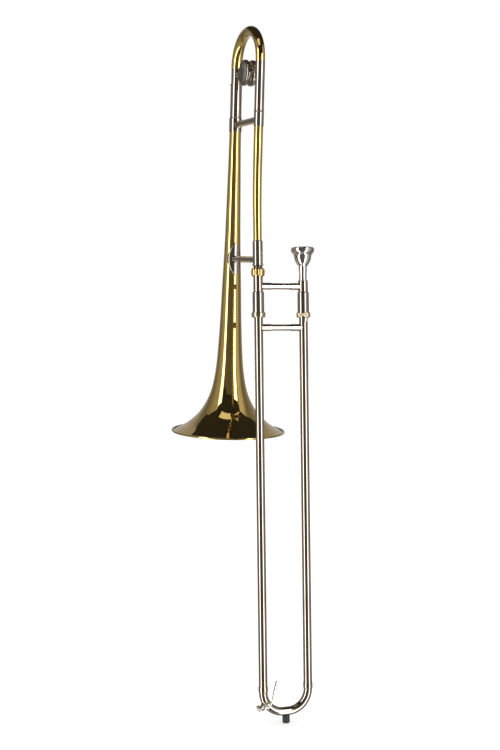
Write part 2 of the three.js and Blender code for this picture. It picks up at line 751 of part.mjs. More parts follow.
function addInnerSlide() {
  const stockingRadius = outerTubeRadius - outerTubeWall - seatGap;
  const tubeRadius = stockingRadius - stockingStep;
  const bore = tubeRadius - innerTubeWall;
  const upperFoot = jointHeight - barrelDrop - upperTubeInsertion;
  const collarTop = jointHeight - receiverLipHalf - threadLength - seatGap;
  const step = jointHeight - tenonStepDrop;
  addPiece(slideFrame, 'slide_tenon', nickelSilver, revolve([
    [tenonRadius - tenonWall, jointHeight + tenonRise],
    [tenonRadius, jointHeight + tenonRise],
    [tenonRadius, collarTop],
    [collarRadius, collarTop],
    [collarRadius, collarTop - collarLength],
    [upperTubeRadius, collarTop - collarLength],
    [upperTubeRadius, upperFoot],
    [tubeRadius + seatGap, upperFoot],
    [tubeRadius + seatGap, step],
    [tenonRadius - tenonWall, step],
  ]));
  const shankEnd = jointHeight - mouthReceiverDrop - shankDepth;
  const mouthTop = shankEnd - 2 * seatGap;
  addPiece(slideFrame, 'mouthpiece_receiver', nickelSilver, revolve([
    [shankRadius + seatGap, jointHeight - mouthReceiverDrop],
    [mouthReceiverRadius, jointHeight - mouthReceiverDrop],
    [mouthReceiverRadius, jointHeight - barrelDrop + seatGap],
    [upperTubeRadius, jointHeight - barrelDrop + seatGap],
    [upperTubeRadius, upperFoot],
    [tubeRadius + seatGap, upperFoot],
    [tubeRadius + seatGap, shankEnd - seatGap],
    [shankTipRadius + seatGap, shankEnd - seatGap],
  ]).translate(slideSpacing, 0, 0));
  const foot = jointHeight - bowFerruleDrop + innerTubeShortfall;
  const innerTube = (top) => revolve([
    [bore, foot],
    [stockingRadius, foot],
    [stockingRadius, foot + stockingLength],
    [tubeRadius, foot + stockingLength],
    [tubeRadius, top],
    [bore, top],
  ]);
  addPiece(slideFrame, 'inner_tube_neck_side', nickelSilver, innerTube(step - seatGap));
  const mouthSide = innerTube(mouthTop).translate(slideSpacing, 0, 0);
  addPiece(slideFrame, 'inner_tube_mouth_side', nickelSilver, mouthSide);
  const leadpipe = pipe(bore - seatGap, bore - seatGap - leadpipeWall, mouthTop - leadpipeLength, mouthTop);
  addPiece(slideFrame, 'leadpipe', polishedBrass, leadpipe.translate(slideSpacing, 0, 0));
  const notch = lockNotchTool();
  for (const [side, along] of [['neck', 0], ['mouth', slideSpacing]]) {
    const { barrel, ring, cork } = barrelShapes();
    addPiece(slideFrame, `cork_barrel_${side}_side`, nickelSilver, barrel.translate(along, 0, 0));
    addPiece(slideFrame, `barrel_cork_${side}_side`, naturalCork, cork.translate(along, 0, 0));
    const ringName = along ? 'slide_lock_ring' : 'barrel_end_ring';
    addPiece(slideFrame, ringName, paleBrass, (along ? cut(ring, notch) : ring).translate(along, 0, 0));
  }
  const braceHeight = jointHeight - handBraceDrop;
  addBrace(slideFrame, ['hand_brace_rod', 'hand_brace_neck_socket', 'hand_brace_mouth_socket'], {
    span: slideSpacing,
    height: braceHeight,
    radius: handBraceRadius,
    collar: slideSocketWall,
    collarLength: slideSocketLength,
    nearRadius: upperTubeRadius,
    farRadius: mouthReceiverRadius,
  });
}

// Knurled nut, round inside, that draws the slide's collar up against the receiver
function addLockNut() {
  const sides = 2 * knurlCount;
  const top = jointHeight - nutDrop;
  const foot = top - nutLength;
  const threadEnd = jointHeight - receiverLipHalf - threadLength;
  const outer = [0, 0.12, 0.3, 0.7, 0.88, 1].map((share) => [
    nutEndRadius + (nutRadius - nutEndRadius) * (1 - Math.abs(2 * share - 1) ** 3),
    foot + share * nutLength,
  ]);
  const nut = revolve([
    ...outer,
    [clearOf(threadRadius, sides), top],
    [clearOf(threadRadius, sides), threadEnd],
    [clearOf(collarRadius, sides), threadEnd],
    [clearOf(collarRadius, sides), foot + nutFloor],
    [clearOf(upperTubeRadius, sides), foot + nutFloor],
    [clearOf(upperTubeRadius, sides), foot],
  ], sides);
  const spots = nut.getAttribute('position');
  const spot = new THREE.Vector3();
  for (let i = 0; i < spots.count; i += 1) {
    spot.fromBufferAttribute(spots, i);
    const radius = Math.hypot(spot.x, spot.y);
    const turn = Math.round((Math.atan2(spot.y, spot.x) * sides) / (2 * Math.PI));
    const inset = radius > nutEndRadius - knurlDepth && turn % 2 ? 1 - knurlDepth / radius : 1;
    spots.setXY(i, spot.x * inset, spot.y * inset);
  }
  addPiece(slideFrame, 'lock_nut', goldBrass, nut);
}

// Mouthpiece outlines: [share of its length down from the rim, share of the rim radius]
const mouthpieceOuterShares = [
  [0, 0.892], [0.01, 0.964], [0.031, 0.995], [0.059, 1], [0.09, 0.965], [0.142, 0.814], [0.165, 0.764],
  [0.234, 0.728], [0.277, 0.669], [0.32, 0.598], [0.363, 0.483], [0.4055, 0.357], [0.491, 0.347],
  [0.577, 0.317], [0.664, 0.327],
];
// cup: [share of its length down from the rim, share of the cup radius]
const mouthpieceCupShares = [[0.316, 0.56], [0.24, 0.83], [0.14, 0.953], [0.05, 1], [0.018, 1.06]];
const rimFlatShare = 0.77; // inner edge of the rim's flat crown, of the rim radius
const throatTopShare = 0.365;
const throatEndShare = 0.45;

function addMouthpiece() {
  const top = jointHeight + mouthpieceRise;
  const length = mouthpieceRise + mouthReceiverDrop + shankDepth;
  const heightAt = (share) => top - share * length;
  const entry = jointHeight - mouthReceiverDrop + seatGap;
  addPiece(slideFrame, 'mouthpiece', silverPlate, revolve([
    [mouthpieceRimRadius * rimFlatShare, top],
    ...mouthpieceOuterShares.map(([down, out]) => [out * mouthpieceRimRadius, heightAt(down)]),
    [shankRadius, entry],
    [shankTipRadius, top - length],
    [backboreRadius, top - length],
    [throatRadius, heightAt(throatEndShare)],
    [throatRadius, heightAt(throatTopShare)],
    ...mouthpieceCupShares.map(([down, out]) => [out * cupRadius, heightAt(down)]),
  ], mouthpieceSides).translate(slideSpacing, 0, 0));
}

// Slot in the lock ring's lower lip, at the stud
function lockNotchTool() {
  const { ringFoot, grooveRadius } = barrelShapes();
  const half = lockTongueWidth / 2 + lockNotchPlay;
  const tool = block(
    [outerTubeRadius, -half, ringFoot - cutOverrun],
    [grooveRadius, half, ringFoot + barrelRingLip + seatGap],
  );
  return tool.rotateZ(THREE.MathUtils.degToRad(lockStudDegrees));
}

// Stud that stands on the outer slide and reaches through the ring's notch
function addLockStud() {
  const { foot, ringFoot, grooveRadius } = barrelShapes();
  const seat = outerTubeRadius + seatGap;
  const tongueTop = foot - seatGap;
  const baseTop = ringFoot - seatGap;
  const base = block(
    [seat, -lockStudWidth / 2, baseTop - lockStudLength],
    [seat + lockStudDepth, lockStudWidth / 2, baseTop],
  );
  const neck = block(
    [seat, -lockTongueWidth / 2, baseTop - lockStudLength / 2],
    [seat + lockNeckDepth, lockTongueWidth / 2, tongueTop],
  );
  const tongue = block(
    [seat, -lockTongueWidth / 2, tongueTop - lockTongueThickness],
    [grooveRadius - 2 * seatGap, lockTongueWidth / 2, tongueTop],
  );
  const stud = join(base, neck, tongue).rotateZ(THREE.MathUtils.degToRad(lockStudDegrees));
  addPiece(slideFrame, 'slide_lock_stud', silverPlate, stud.translate(slideSpacing, 0, 0));
}

function addOuterSlide() {
  const ferruleTop = jointHeight - bowFerruleDrop;
  const ferruleFoot = ferruleTop - bowFerruleLength;
  const middle = (ferruleTop + ferruleFoot) / 2;
  const top = jointHeight - outerTubeTopDrop;
  for (const [side, along] of [['neck', 0], ['mouth', slideSpacing]]) {
    const tube = pipe(outerTubeRadius, outerTubeRadius - outerTubeWall, middle + seatGap / 2, top);
    addPiece(slideFrame, `outer_tube_${side}_side`, nickelSilver, tube.translate(along, 0, 0));
    const topFerrule = pipe(topFerruleRadius, outerTubeRadius + seatGap, top - topFerruleLength, top);
    addPiece(slideFrame, `outer_top_ferrule_${side}_side`, nickelSilver, topFerrule.translate(along, 0, 0));
    addPiece(slideFrame, `bow_ferrule_${side}_side`, nickelSilver, revolve([
      [bowTubeRadius + seatGap, ferruleFoot],
      [bowFerruleRadius, ferruleFoot],
      [bowFerruleRadius, ferruleTop],
      [outerTubeRadius + seatGap, ferruleTop],
      [outerTubeRadius + seatGap, middle],
      [bowTubeRadius + seatGap, middle],
    ]).translate(along, 0, 0));
  }
  const run = (bowFerruleLength - seatGap) / 2;
  const path = planarPath([0, ferruleFoot + run], -90, [
    { length: run, steps: 1 },
    { radius: bowCornerRadius, degrees: 90, steps: 6 },
    { length: slideSpacing - 2 * bowCornerRadius, steps: 1 },
    { radius: bowCornerRadius, degrees: 90, steps: 6 },
    { length: run, steps: 1 },
  ]);
  const drain = bar('z', nippleBore, 0, nippleHeight, smallSides).applyMatrix4(keyInSlide);
  const bow = cut(sweptTube(path, () => bowTubeRadius, bowTubeWall), drain);
  addPiece(slideFrame, 'slide_bow', nickelSilver, bow);
  const braceHeight = jointHeight - outerBraceDrop;
  addBrace(slideFrame, ['slide_brace_rod', 'slide_brace_neck_socket', 'slide_brace_mouth_socket'], {
    span: slideSpacing,
    height: braceHeight,
    radius: outerBraceRadius,
    collar: slideSocketWall,
    collarLength: slideSocketLength,
    nearRadius: outerTubeRadius,
    farRadius: outerTubeRadius,
  });
}

function addBumper() {
  const middle = slideSpacing / 2;
  const axisHeight = jointHeight - bowFerruleDrop - bowFerruleLength - bowCornerRadius;
  const bowUnderside = axisHeight - bowTubeRadius;
  const seatFoot = bowUnderside - bumperSeatLength;
  const stemFoot = seatFoot - bumperStemLength;
  const bowCutter = bar('x', clearOf(bowTubeRadius), 0, slideSpacing, tubeSides);
  bowCutter.translate(0, 0, axisHeight);
  const seat = bar('z', bumperSeatRadius, seatFoot, bowUnderside + bumperCollarRise);
  const stem = bar('z', bumperStemRadius, stemFoot, seatFoot + bumperSeatLength / 2);
  const holder = join(seat, stem).translate(middle, 0, 0);
  addPiece(slideFrame, 'bumper_holder', nickelSilver, cut(holder, bowCutter));
  const foot = bowUnderside - bumperLength;
  const holeRadius = clearOf(bumperStemRadius, braceSides);
  const recessRadius = clearOf(bumperSeatRadius, braceSides);
  const edge = [-90, -45, 0].map((degrees) => {
    const angle = THREE.MathUtils.degToRad(degrees);
    return [
      bumperRadius - bumperEdge + bumperEdge * Math.cos(angle),
      foot + bumperEdge + bumperEdge * Math.sin(angle),
    ];
  });
  const rubber = revolve([
    [0, foot],
    ...edge,
    [bumperRadius, bowUnderside + bumperCollarRise],
    [recessRadius, bowUnderside + bumperCollarRise],
    [recessRadius, seatFoot - seatGap],
    [holeRadius, seatFoot - seatGap],
    [holeRadius, stemFoot - seatGap],
    [0, stemFoot - seatGap],
  ], braceSides).translate(middle, 0, 0);
  addPiece(slideFrame, 'bumper_rubber', blackRubber, cut(rubber, bowCutter));
}

// Frame of the water key: X along the bow, Y to the front, Z outward from the bow's centre line
const keyAngle = THREE.MathUtils.degToRad(waterKeyDegrees);
const keyFrame = new THREE.Group();
const keyInSlide = new THREE.Matrix4().makeBasis(
  new THREE.Vector3(Math.sin(keyAngle), 0, -Math.cos(keyAngle)),
  new THREE.Vector3(0, -1, 0),
  new THREE.Vector3(-Math.cos(keyAngle), 0, -Math.sin(keyAngle)),
);
keyInSlide.setPosition(
  bowCornerRadius * (1 - Math.cos(keyAngle)),
  0,
  jointHeight - bowFerruleDrop - bowFerruleLength - bowCornerRadius * Math.sin(keyAngle),
);
keyInSlide.decompose(keyFrame.position, keyFrame.quaternion, keyFrame.scale);
slideFrame.add(keyFrame);

// Flat strip of even or tapering width along a line of [u, v] points, as an outline
function stripOutline(points, widths) {
  const left = [];
  const right = [];
  points.forEach(([u, v], i) => {
    const [before, after] = [points[Math.max(i - 1, 0)], points[Math.min(i + 1, points.length - 1)]];
    const reach = Math.hypot(after[0] - before[0], after[1] - before[1]);
    const [across, up] = [-(after[1] - before[1]) / reach, (after[0] - before[0]) / reach];
    const half = widths[i] / 2;
    left.push([u + across * half, v + up * half]);
    right.unshift([u - across * half, v - up * half]);
  });
  return [...left, ...right];
}

// Extrudes an outline of [forward, outward] points along the bow
function acrossPlate(outline, from, to) {
  const turn = new THREE.Matrix4().makeBasis(
    new THREE.Vector3(0, 1, 0),
    new THREE.Vector3(0, 0, 1),
    new THREE.Vector3(1, 0, 0),
  );
  return plate(outline, to - from).applyMatrix4(turn).translate(from, 0, 0);
}

function addWaterKey() {
  const bowCutter = bar('x', clearOf(bowTubeRadius), -bowTubeRadius, bowTubeRadius, tubeSides);
  const nipple = pipe(nippleRadius, nippleBore, nippleHeight / 4, nippleHeight, braceSides);
  addPiece(keyFrame, 'water_key_nipple', nickelSilver, cut(nipple, bowCutter));
  const earOuter = pivotTubeHalf + seatGap + earThickness;
  const onPivot = (shape) => shape.translate(0, pivotForward, pivotOutward);
  const screwHoleRadius = clearOf(pivotScrewRadius, smallSides);
  const screwHoleEnd = earOuter + cutOverrun;
  const screwHole = onPivot(bar('x', screwHoleRadius, -screwHoleEnd, screwHoleEnd, smallSides));
  const saddleOuter = bowTubeRadius + seatGap + saddleThickness;
  const shell = cut(bar('x', saddleOuter, -earOuter, earOuter, tubeSides), bowCutter);
  const window = block(
    [-earOuter, saddleOuter / 2, pivotOutward - saddleHalfWidth],
    [earOuter, saddleOuter, pivotOutward + saddleHalfWidth],
  );
  const ears = [-earOuter, pivotTubeHalf + seatGap].map((from) => {
    const disc = onPivot(bar('x', earRadius, from, from + earThickness, smallSides));
    const post = block(
      [from, saddleOuter - saddleThickness, pivotOutward - earRadius],
      [from + earThickness, pivotForward, pivotOutward + earRadius],
    );
    return cut(join(disc, post), bowCutter);
  });
  const saddle = cut(join(overlapOf(shell, window), ...ears), screwHole);
  addPiece(keyFrame, 'water_key_saddle', nickelSilver, saddle);
  const screwShank = bar('x', pivotScrewRadius, -earOuter, earOuter + 2 * seatGap, smallSides);
  const headFrom = earOuter + seatGap;
  const screwHead = bar('x', pivotScrewHeadRadius, headFrom, headFrom + pivotScrewHeadLength, smallSides);
  addPiece(keyFrame, 'water_key_screw', brightSteel, onPivot(join(screwShank, screwHead)));
  const padFoot = nippleHeight + seatGap;
  const padTop = padFoot + padThickness;
  addPiece(keyFrame, 'water_key_cork', naturalCork, bar('z', padRadius, padFoot, padTop));
  const cupFloor = padTop + seatGap;
  const cupBore = clearOf(padRadius, braceSides);
  const cup = revolve([
    [0, cupFloor],
    [cupBore, cupFloor],
    [cupBore, cupFloor - padCupSkirt],
    [cupBore + padCupWall, cupFloor - padCupSkirt],
    [cupBore + padCupWall, cupFloor + padCupFloor / 2],
    [cupBore - padCupWall, cupFloor + padCupFloor],
    [0, cupFloor + padCupFloor],
  ], braceSides);
  const armLine = [
    [0, cupFloor + padCupFloor - padArmThickness / 2],
    [padArmReach, cupFloor + padCupFloor - padArmThickness / 2],
    [pivotForward + padArmThickness / 2, cupFloor - padArmDrop],
    [pivotForward + padArmThickness / 2, pivotOutward],
  ];
  const padArm = acrossPlate(stripOutline(armLine, armLine.map(() => padArmThickness)), 0, padArmWidth);
  const plateFoot = pivotForward + earRadius + seatGap;
  const touchLine = [
    [padArmWidth / 2, pivotOutward + pivotTubeRadius / 2],
    [touchElbowAlong, touchElbowOutward],
    [touchTipAlong, touchTipOutward],
  ];
  const touchOutline = stripOutline(touchLine, [touchRootWidth, touchRootWidth, touchTipWidth]);
  const forward = new THREE.Matrix4().makeBasis(
    new THREE.Vector3(1, 0, 0),
    new THREE.Vector3(0, 0, 1),
    new THREE.Vector3(0, -1, 0),
  );
  const touch = plate(touchOutline, touchThickness).applyMatrix4(forward);
  touch.translate(0, plateFoot + touchThickness, 0);
  const tip = bar('y', touchTipWidth / 2, plateFoot, plateFoot + touchThickness);
  tip.translate(touchTipAlong, 0, touchTipOutward);
  const pivotTube = onPivot(bar('x', pivotTubeRadius, -pivotTubeHalf, pivotTubeHalf));
  const root = block(
    [0, pivotForward, pivotOutward - pivotTubeRadius / 2],
    [padArmWidth, plateFoot + touchThickness / 2, pivotOutward + pivotTubeRadius / 2],
  );
  const lever = join(cup, padArm, pivotTube, root, touch, tip);
  addPiece(keyFrame, 'water_key_lever', silverPlate, cut(lever, screwHole));
}

// Torsion spring: a coil round the pivot with a straight leg at each end
class SpringLine extends THREE.Curve {
  getPoint(share) {
    const radius = pivotTubeRadius + seatGap + springWireRadius;
    const coil = 2 * Math.PI * springTurns * radius;
    const total = coil + 2 * springLegLength;
    const travelled = share * total;
    const wound = THREE.MathUtils.clamp(travelled - springLegLength, 0, coil);
    const angle = wound / radius;
    const beyond = travelled - springLegLength - wound;
    const along = springWireRadius - pivotTubeHalf + (springPitch * angle) / (2 * Math.PI);
    return new THREE.Vector3(
      along,
      pivotForward + radius * Math.cos(angle) - beyond * Math.sin(angle),
      pivotOutward + radius * Math.sin(angle) + beyond * Math.cos(angle),
    );
  }
}

function addSpring() {
  const section = new THREE.Shape();
  section.absarc(0, 0, springWireRadius, 0, 2 * Math.PI, false);
  const wire = new THREE.ExtrudeGeometry(section, {
    steps: springTurns * 6 + 4,
    curveSegments: 5,
    bevelEnabled: false,
    extrudePath: new SpringLine(),
  });
  addPiece(keyFrame, 'water_key_spring', brightSteel, closed(wire));
}

addBell();
addBellSleeve();
addNeckpipe();
addSlideReceiver();
addUpperBellBrace();
addLowerBellBrace();
addTuningSlide();
addBalancer();
addInnerSlide();
addLockNut();
addMouthpiece();
addOuterSlide();
addLockStud();
addBumper();
addWaterKey();
addSpring();

export default trombone;
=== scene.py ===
import bmesh
import bpy
import json
import math
import numpy as np
from mathutils import Matrix, Vector


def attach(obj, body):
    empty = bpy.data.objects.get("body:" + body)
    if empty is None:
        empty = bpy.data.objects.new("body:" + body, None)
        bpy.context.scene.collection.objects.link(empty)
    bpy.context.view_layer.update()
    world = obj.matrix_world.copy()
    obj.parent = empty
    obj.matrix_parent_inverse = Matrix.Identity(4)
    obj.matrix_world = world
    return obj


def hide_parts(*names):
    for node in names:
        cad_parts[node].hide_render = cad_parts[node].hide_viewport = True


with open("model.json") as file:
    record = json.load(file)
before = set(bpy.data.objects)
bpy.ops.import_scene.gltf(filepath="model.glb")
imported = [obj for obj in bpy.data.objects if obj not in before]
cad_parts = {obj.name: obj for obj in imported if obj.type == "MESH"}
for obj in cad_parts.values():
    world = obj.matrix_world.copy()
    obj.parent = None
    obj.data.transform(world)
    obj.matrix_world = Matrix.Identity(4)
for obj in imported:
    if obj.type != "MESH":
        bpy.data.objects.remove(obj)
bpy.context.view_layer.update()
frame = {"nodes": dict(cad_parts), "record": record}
print("frame loaded:", len(frame["nodes"]), "nodes")

mm = 0.001
lipHeight = 287.2    # lip of the slide receiver above the bell mouth; drops are counted from it
fit = 0.02           # a soldered sleeve, collar or brace end stands this far off the tube under it

# how the hand slide and the bell stand to each other, in millimetres and degrees
layout = {"slideX": 12.175, "slideY": -144.990, "slideOffset": 145.5, "tilt": 5.67, "plane": 94.8}
tiltAngle, planeAngle = math.radians(layout["tilt"]), math.radians(layout["plane"])

# frames: every shape is worked out in millimetres in one of these, then carried to the part's own frame


def inSlide(points, along=0.0):
    # upright frame of the hand slide: the same axes, moved to the bell-side tube
    return np.asarray(points, float) + np.array([layout["slideX"] + along, layout["slideY"], 0.0])


def inBell(points):
    # frame of the bell, z along its axis and x toward the neckpipe: the rows are its axes
    sinTilt, cosTilt = math.sin(tiltAngle), math.cos(tiltAngle)
    sinPlane, cosPlane = math.sin(planeAngle), math.cos(planeAngle)
    axes = np.array([
        [-cosTilt * cosPlane, -cosTilt * sinPlane, -sinTilt],
        [sinPlane, -cosPlane, 0.0],
        [-sinTilt * cosPlane, -sinTilt * sinPlane, cosTilt],
    ])
    return np.asarray(points, float) @ axes


def inKey(points):
    # frame of the water key on the bow's corner: x along the bow, y to the front, z outward
    corner = math.radians(waterKey["cornerDegrees"])
    axes = np.array([
        [math.sin(corner), 0.0, -math.cos(corner)],
        [0.0, -1.0, 0.0],
        [-math.cos(corner), 0.0, -math.sin(corner)],
    ])
    radius = slideBow["cornerRadius"]
    place = [radius * (1 - math.cos(corner)), 0.0, slideBow["top"] - radius * math.sin(corner)]
    return inSlide(np.asarray(points, float) @ axes + np.array(place))


# surfaces: a grid of points and the quads between them

def gridFaces(rows, columns, closeRows=True, closeColumns=True):
    # quad (i, j), (i, j+1), (i+1, j+1), (i+1, j) for every cell, wrapped round where the grid is closed
    i = np.arange(rows if closeRows else rows - 1)[:, None]
    j = np.arange(columns if closeColumns else columns - 1)[None, :]
    below, beside = (i + 1) % rows, (j + 1) % columns
    corners = [i * columns + j, i * columns + beside, below * columns + beside, below * columns + j]
    return np.stack([np.broadcast_to(c, (i.size, j.size)) for c in corners], axis=-1).reshape(-1, 4)


def eased(corners, ease, steps=4):
    # closed profile whose corners are rounded: from c + u e to c + v e by the curve (1-t)^2, 2t(1-t), t^2
    # with one more point just outside each end, so that the straight runs stay straight in their shading
    c = np.asarray(corners, float)
    back, ahead = np.roll(c, 1, axis=0) - c, np.roll(c, -1, axis=0) - c
    backLength = np.linalg.norm(back, axis=1, keepdims=True)
    aheadLength = np.linalg.norm(ahead, axis=1, keepdims=True)
    e = np.minimum(ease, 0.35 * np.minimum(backLength, aheadLength))
    e = np.where(c[:, :1] < 1e-6, 0.0, e)
    start, end = c + back / backLength * e, c + ahead / aheadLength * e
    t = np.linspace(0, 1, steps)[None, :, None]
    arc = (1 - t) ** 2 * start[:, None] + 2 * t * (1 - t) * c[:, None] + t ** 2 * end[:, None]
    outer = (c + back / backLength * e * 1.25)[:, None]
    after = (c + ahead / aheadLength * e * 1.25)[:, None]
    return np.concatenate([outer, arc, after], axis=1).reshape(-1, 2)


def turned(profile, sides=72):
    # surface of revolution: (r cos a, r sin a, h) for every profile point (r, h) and every angle a
    profile = np.asarray(profile, float)
    a = np.linspace(0, 2 * np.pi, sides, endpoint=False)
    r, h = profile[:, :1], profile[:, 1:]
    grid = np.stack([r * np.cos(a), r * np.sin(a), h + 0 * a], axis=-1)
    return grid.reshape(-1, 3), gridFaces(len(profile), sides)


def tubeAlong(path, radius, wall, sides=56):
    # hollow tube on a curve in the XZ plane: path + side r cos a + Y r sin a, outside wall then inside wall
    path, radius = np.asarray(path, float), np.broadcast_to(radius, len(path))[:, None]
    heading = np.gradient(path, axis=0)
    heading /= np.linalg.norm(heading, axis=1, keepdims=True)
    side = np.stack([-heading[:, 2], 0 * heading[:, 0], heading[:, 0]], axis=-1)
    a = np.linspace(0, 2 * np.pi, sides, endpoint=False)
    across = side[:, None] * np.cos(a)[None, :, None] + np.array([0, 1, 0]) * np.sin(a)[None, :, None]
    outside = path[:, None] + across * radius[:, :, None]
    inside = (path[:, None] + across * (radius - wall)[:, :, None])[::-1]
    grid = np.concatenate([outside, inside])
    return grid.reshape(-1, 3), gridFaces(len(grid), sides)


def arcPath(start, headingDegrees, runs):
    # points of a planar path from straight runs (length) and bends (radius, degrees)
    points, heading = [np.array([start[0], 0.0, start[1]])], math.radians(headingDegrees)
    for length, radius, degrees, steps in runs:
        turn = math.radians(degrees) / steps
        stride = length / steps if not degrees else 2 * radius * math.sin(abs(turn) / 2)
        headings = heading + turn * (np.arange(steps) + 0.5)
        moves = stride * np.stack([np.cos(headings), 0 * headings, np.sin(headings)], axis=-1)
        points.append(points[-1][-1] + np.cumsum(moves, axis=0) if points[-1].ndim > 1
                      else points[-1] + np.cumsum(moves, axis=0))
        heading += math.radians(degrees)
    return np.concatenate([np.atleast_2d(p) for p in points])


def alongX(points):
    # turns a shape made about Z to lie along X
    points = np.asarray(points)
    return np.stack([points[:, 2], points[:, 1], -points[:, 0]], axis=-1)


def alongY(points):
    # turns a shape made about Z to lie along Y
    points = np.asarray(points)
    return np.stack([points[:, 0], points[:, 2], -points[:, 1]], axis=-1)


def moved(points, x=0.0, y=0.0, z=0.0):
    return np.asarray(points, float) + np.array([x, y, z])


def heldOutside(points, radius, middle=0.0, side=1, slant=0.0):
    # a brace end is pressed against an upright tube: x is at least middle + sqrt(radius^2 - y^2), or at most
    # middle - that on the other side, where the tube's middle leans by slant for each millimetre of height
    y, z = points[:, 1], points[:, 2]
    reach = np.sqrt(np.maximum(radius ** 2 - y ** 2, 0))
    wall = middle + slant * z + side * reach
    held = points.copy()
    held[:, 0] = np.maximum(points[:, 0], wall) if side > 0 else np.minimum(points[:, 0], wall)
    return held


def make(name, surfaces, body, slot, nodes=(), sharp=40.0):
    # puts the surfaces into one mesh in metres, closes seams and poles and turns the faces outward; the piece
    # rides on its body, has the finish of its slot and stands for the nodes named
    points, faces, count = [], [], 0
    for gridPoints, quads in surfaces:
        points.append(gridPoints)
        faces.append(quads + count)
        count += len(gridPoints)
    points, faces = np.concatenate(points) * mm, np.concatenate(faces)
    mesh = bpy.data.meshes.new(name)
    mesh.vertices.add(len(points))
    mesh.vertices.foreach_set("co", points.astype(np.float32).ravel())
    mesh.loops.add(faces.size)
    mesh.loops.foreach_set("vertex_index", faces.astype(np.int32).ravel())
    mesh.polygons.add(len(faces))
    mesh.polygons.foreach_set("loop_start", np.arange(0, faces.size, 4, dtype=np.int32))
    mesh.update(calc_edges=True)
    shell = bmesh.new()
    shell.from_mesh(mesh)
    bmesh.ops.remove_doubles(shell, verts=shell.verts, dist=2e-7)
    bmesh.ops.dissolve_degenerate(shell, dist=1e-7, edges=shell.edges)
    bmesh.ops.delete(shell, geom=[e for e in shell.edges if not e.link_faces], context="EDGES")
    bmesh.ops.delete(shell, geom=[v for v in shell.verts if not v.link_faces], context="VERTS")
    bmesh.ops.recalc_face_normals(shell, faces=shell.faces)
    shell.to_mesh(mesh)
    shell.free()
    mesh.shade_smooth()
    mesh.set_sharp_from_angle(angle=math.radians(sharp))
    piece = bpy.data.objects.new(name, mesh)
    bpy.context.scene.collection.objects.link(piece)
    mesh.materials.append(slotFinish[slot])
    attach(piece, body)
    if nodes:
        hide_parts(*nodes)
    return piece


# materials

def linear(hexColour):
    # sRGB hex to linear colour
    parts = [int(hexColour[i:i + 2], 16) / 255 for i in (1, 3, 5)]
    return [p / 12.92 if p <= 0.04045 else ((p + 0.055) / 1.055) ** 2.4 for p in parts] + [1.0]


def addNode(material, kind, settings=None, links=None):
    # one node with its settings; links maps an input's name or number to another node's output
    node = material.node_tree.nodes.new(kind)
    for key, value in (settings or {}).items():
        if isinstance(key, int) or key in node.inputs:
            node.inputs[key].default_value = value
        else:
            setattr(node, key, value)
    for key, output in (links or {}).items():
        material.node_tree.links.new(output, node.inputs[key])
    return node


def emptyMaterial(name):
    material = bpy.data.materials.new(name)
    material.use_nodes = True
    material.node_tree.nodes.clear()
    return material


# between which values of the noise a metal's tone and roughness change, and how rough its lacquer is
metalRamps = {"toneFrom": 0.35, "toneTo": 0.65, "roughFrom": 0.3, "roughTo": 0.7, "coatRough": 0.04}


def polishedMetal(name, look):
    # a drawn and buffed metal: slow changes of tone from the alloy and the lacquer or plate, and buffing
    # lines along the piece too fine to see one by one, which only move the roughness and tilt the surface
    material = emptyMaterial(name)
    place = addNode(material, "ShaderNodeTexCoord")
    drift = addNode(material, "ShaderNodeTexNoise", {"Scale": 1000 / look["driftSize"], "Detail": 3.0},
                    {"Vector": place.outputs["Object"]})
    tone = addNode(material, "ShaderNodeValToRGB", links={"Fac": drift.outputs["Fac"]})
    for end, at, colour in zip(tone.color_ramp.elements, ("toneFrom", "toneTo"), ("deep", "light")):
        end.position, end.color = metalRamps[at], linear(look[colour])
    lines = addNode(material, "ShaderNodeMapping", {"Scale": look["lineStretch"]},
                    {"Vector": place.outputs["Object"]})
    buff = addNode(material, "ShaderNodeTexNoise", {"Scale": 1000 / look["lineSize"], "Detail": 1.0},
                   {"Vector": lines.outputs["Vector"]})
    rough = addNode(material, "ShaderNodeMapRange",
                    {"From Min": metalRamps["roughFrom"], "From Max": metalRamps["roughTo"],
                     "To Min": look["smooth"], "To Max": look["rough"]},
                    {"Value": buff.outputs["Fac"]})
    bump = addNode(material, "ShaderNodeBump", {"Strength": look["bump"], "Distance": look["depth"] * mm},
                   {"Height": buff.outputs["Fac"]})
    metal = addNode(material, "ShaderNodeBsdfPrincipled",
                    {"Metallic": 1.0, "Coat Weight": look["lacquer"],
                     "Coat Roughness": metalRamps["coatRough"]},
                    {"Base Color": tone.outputs["Color"], "Roughness": rough.outputs["Result"],
                     "Normal": bump.outputs["Normal"]})
    addNode(material, "ShaderNodeOutputMaterial", links={"Surface": metal.outputs["BSDF"]})
    return material


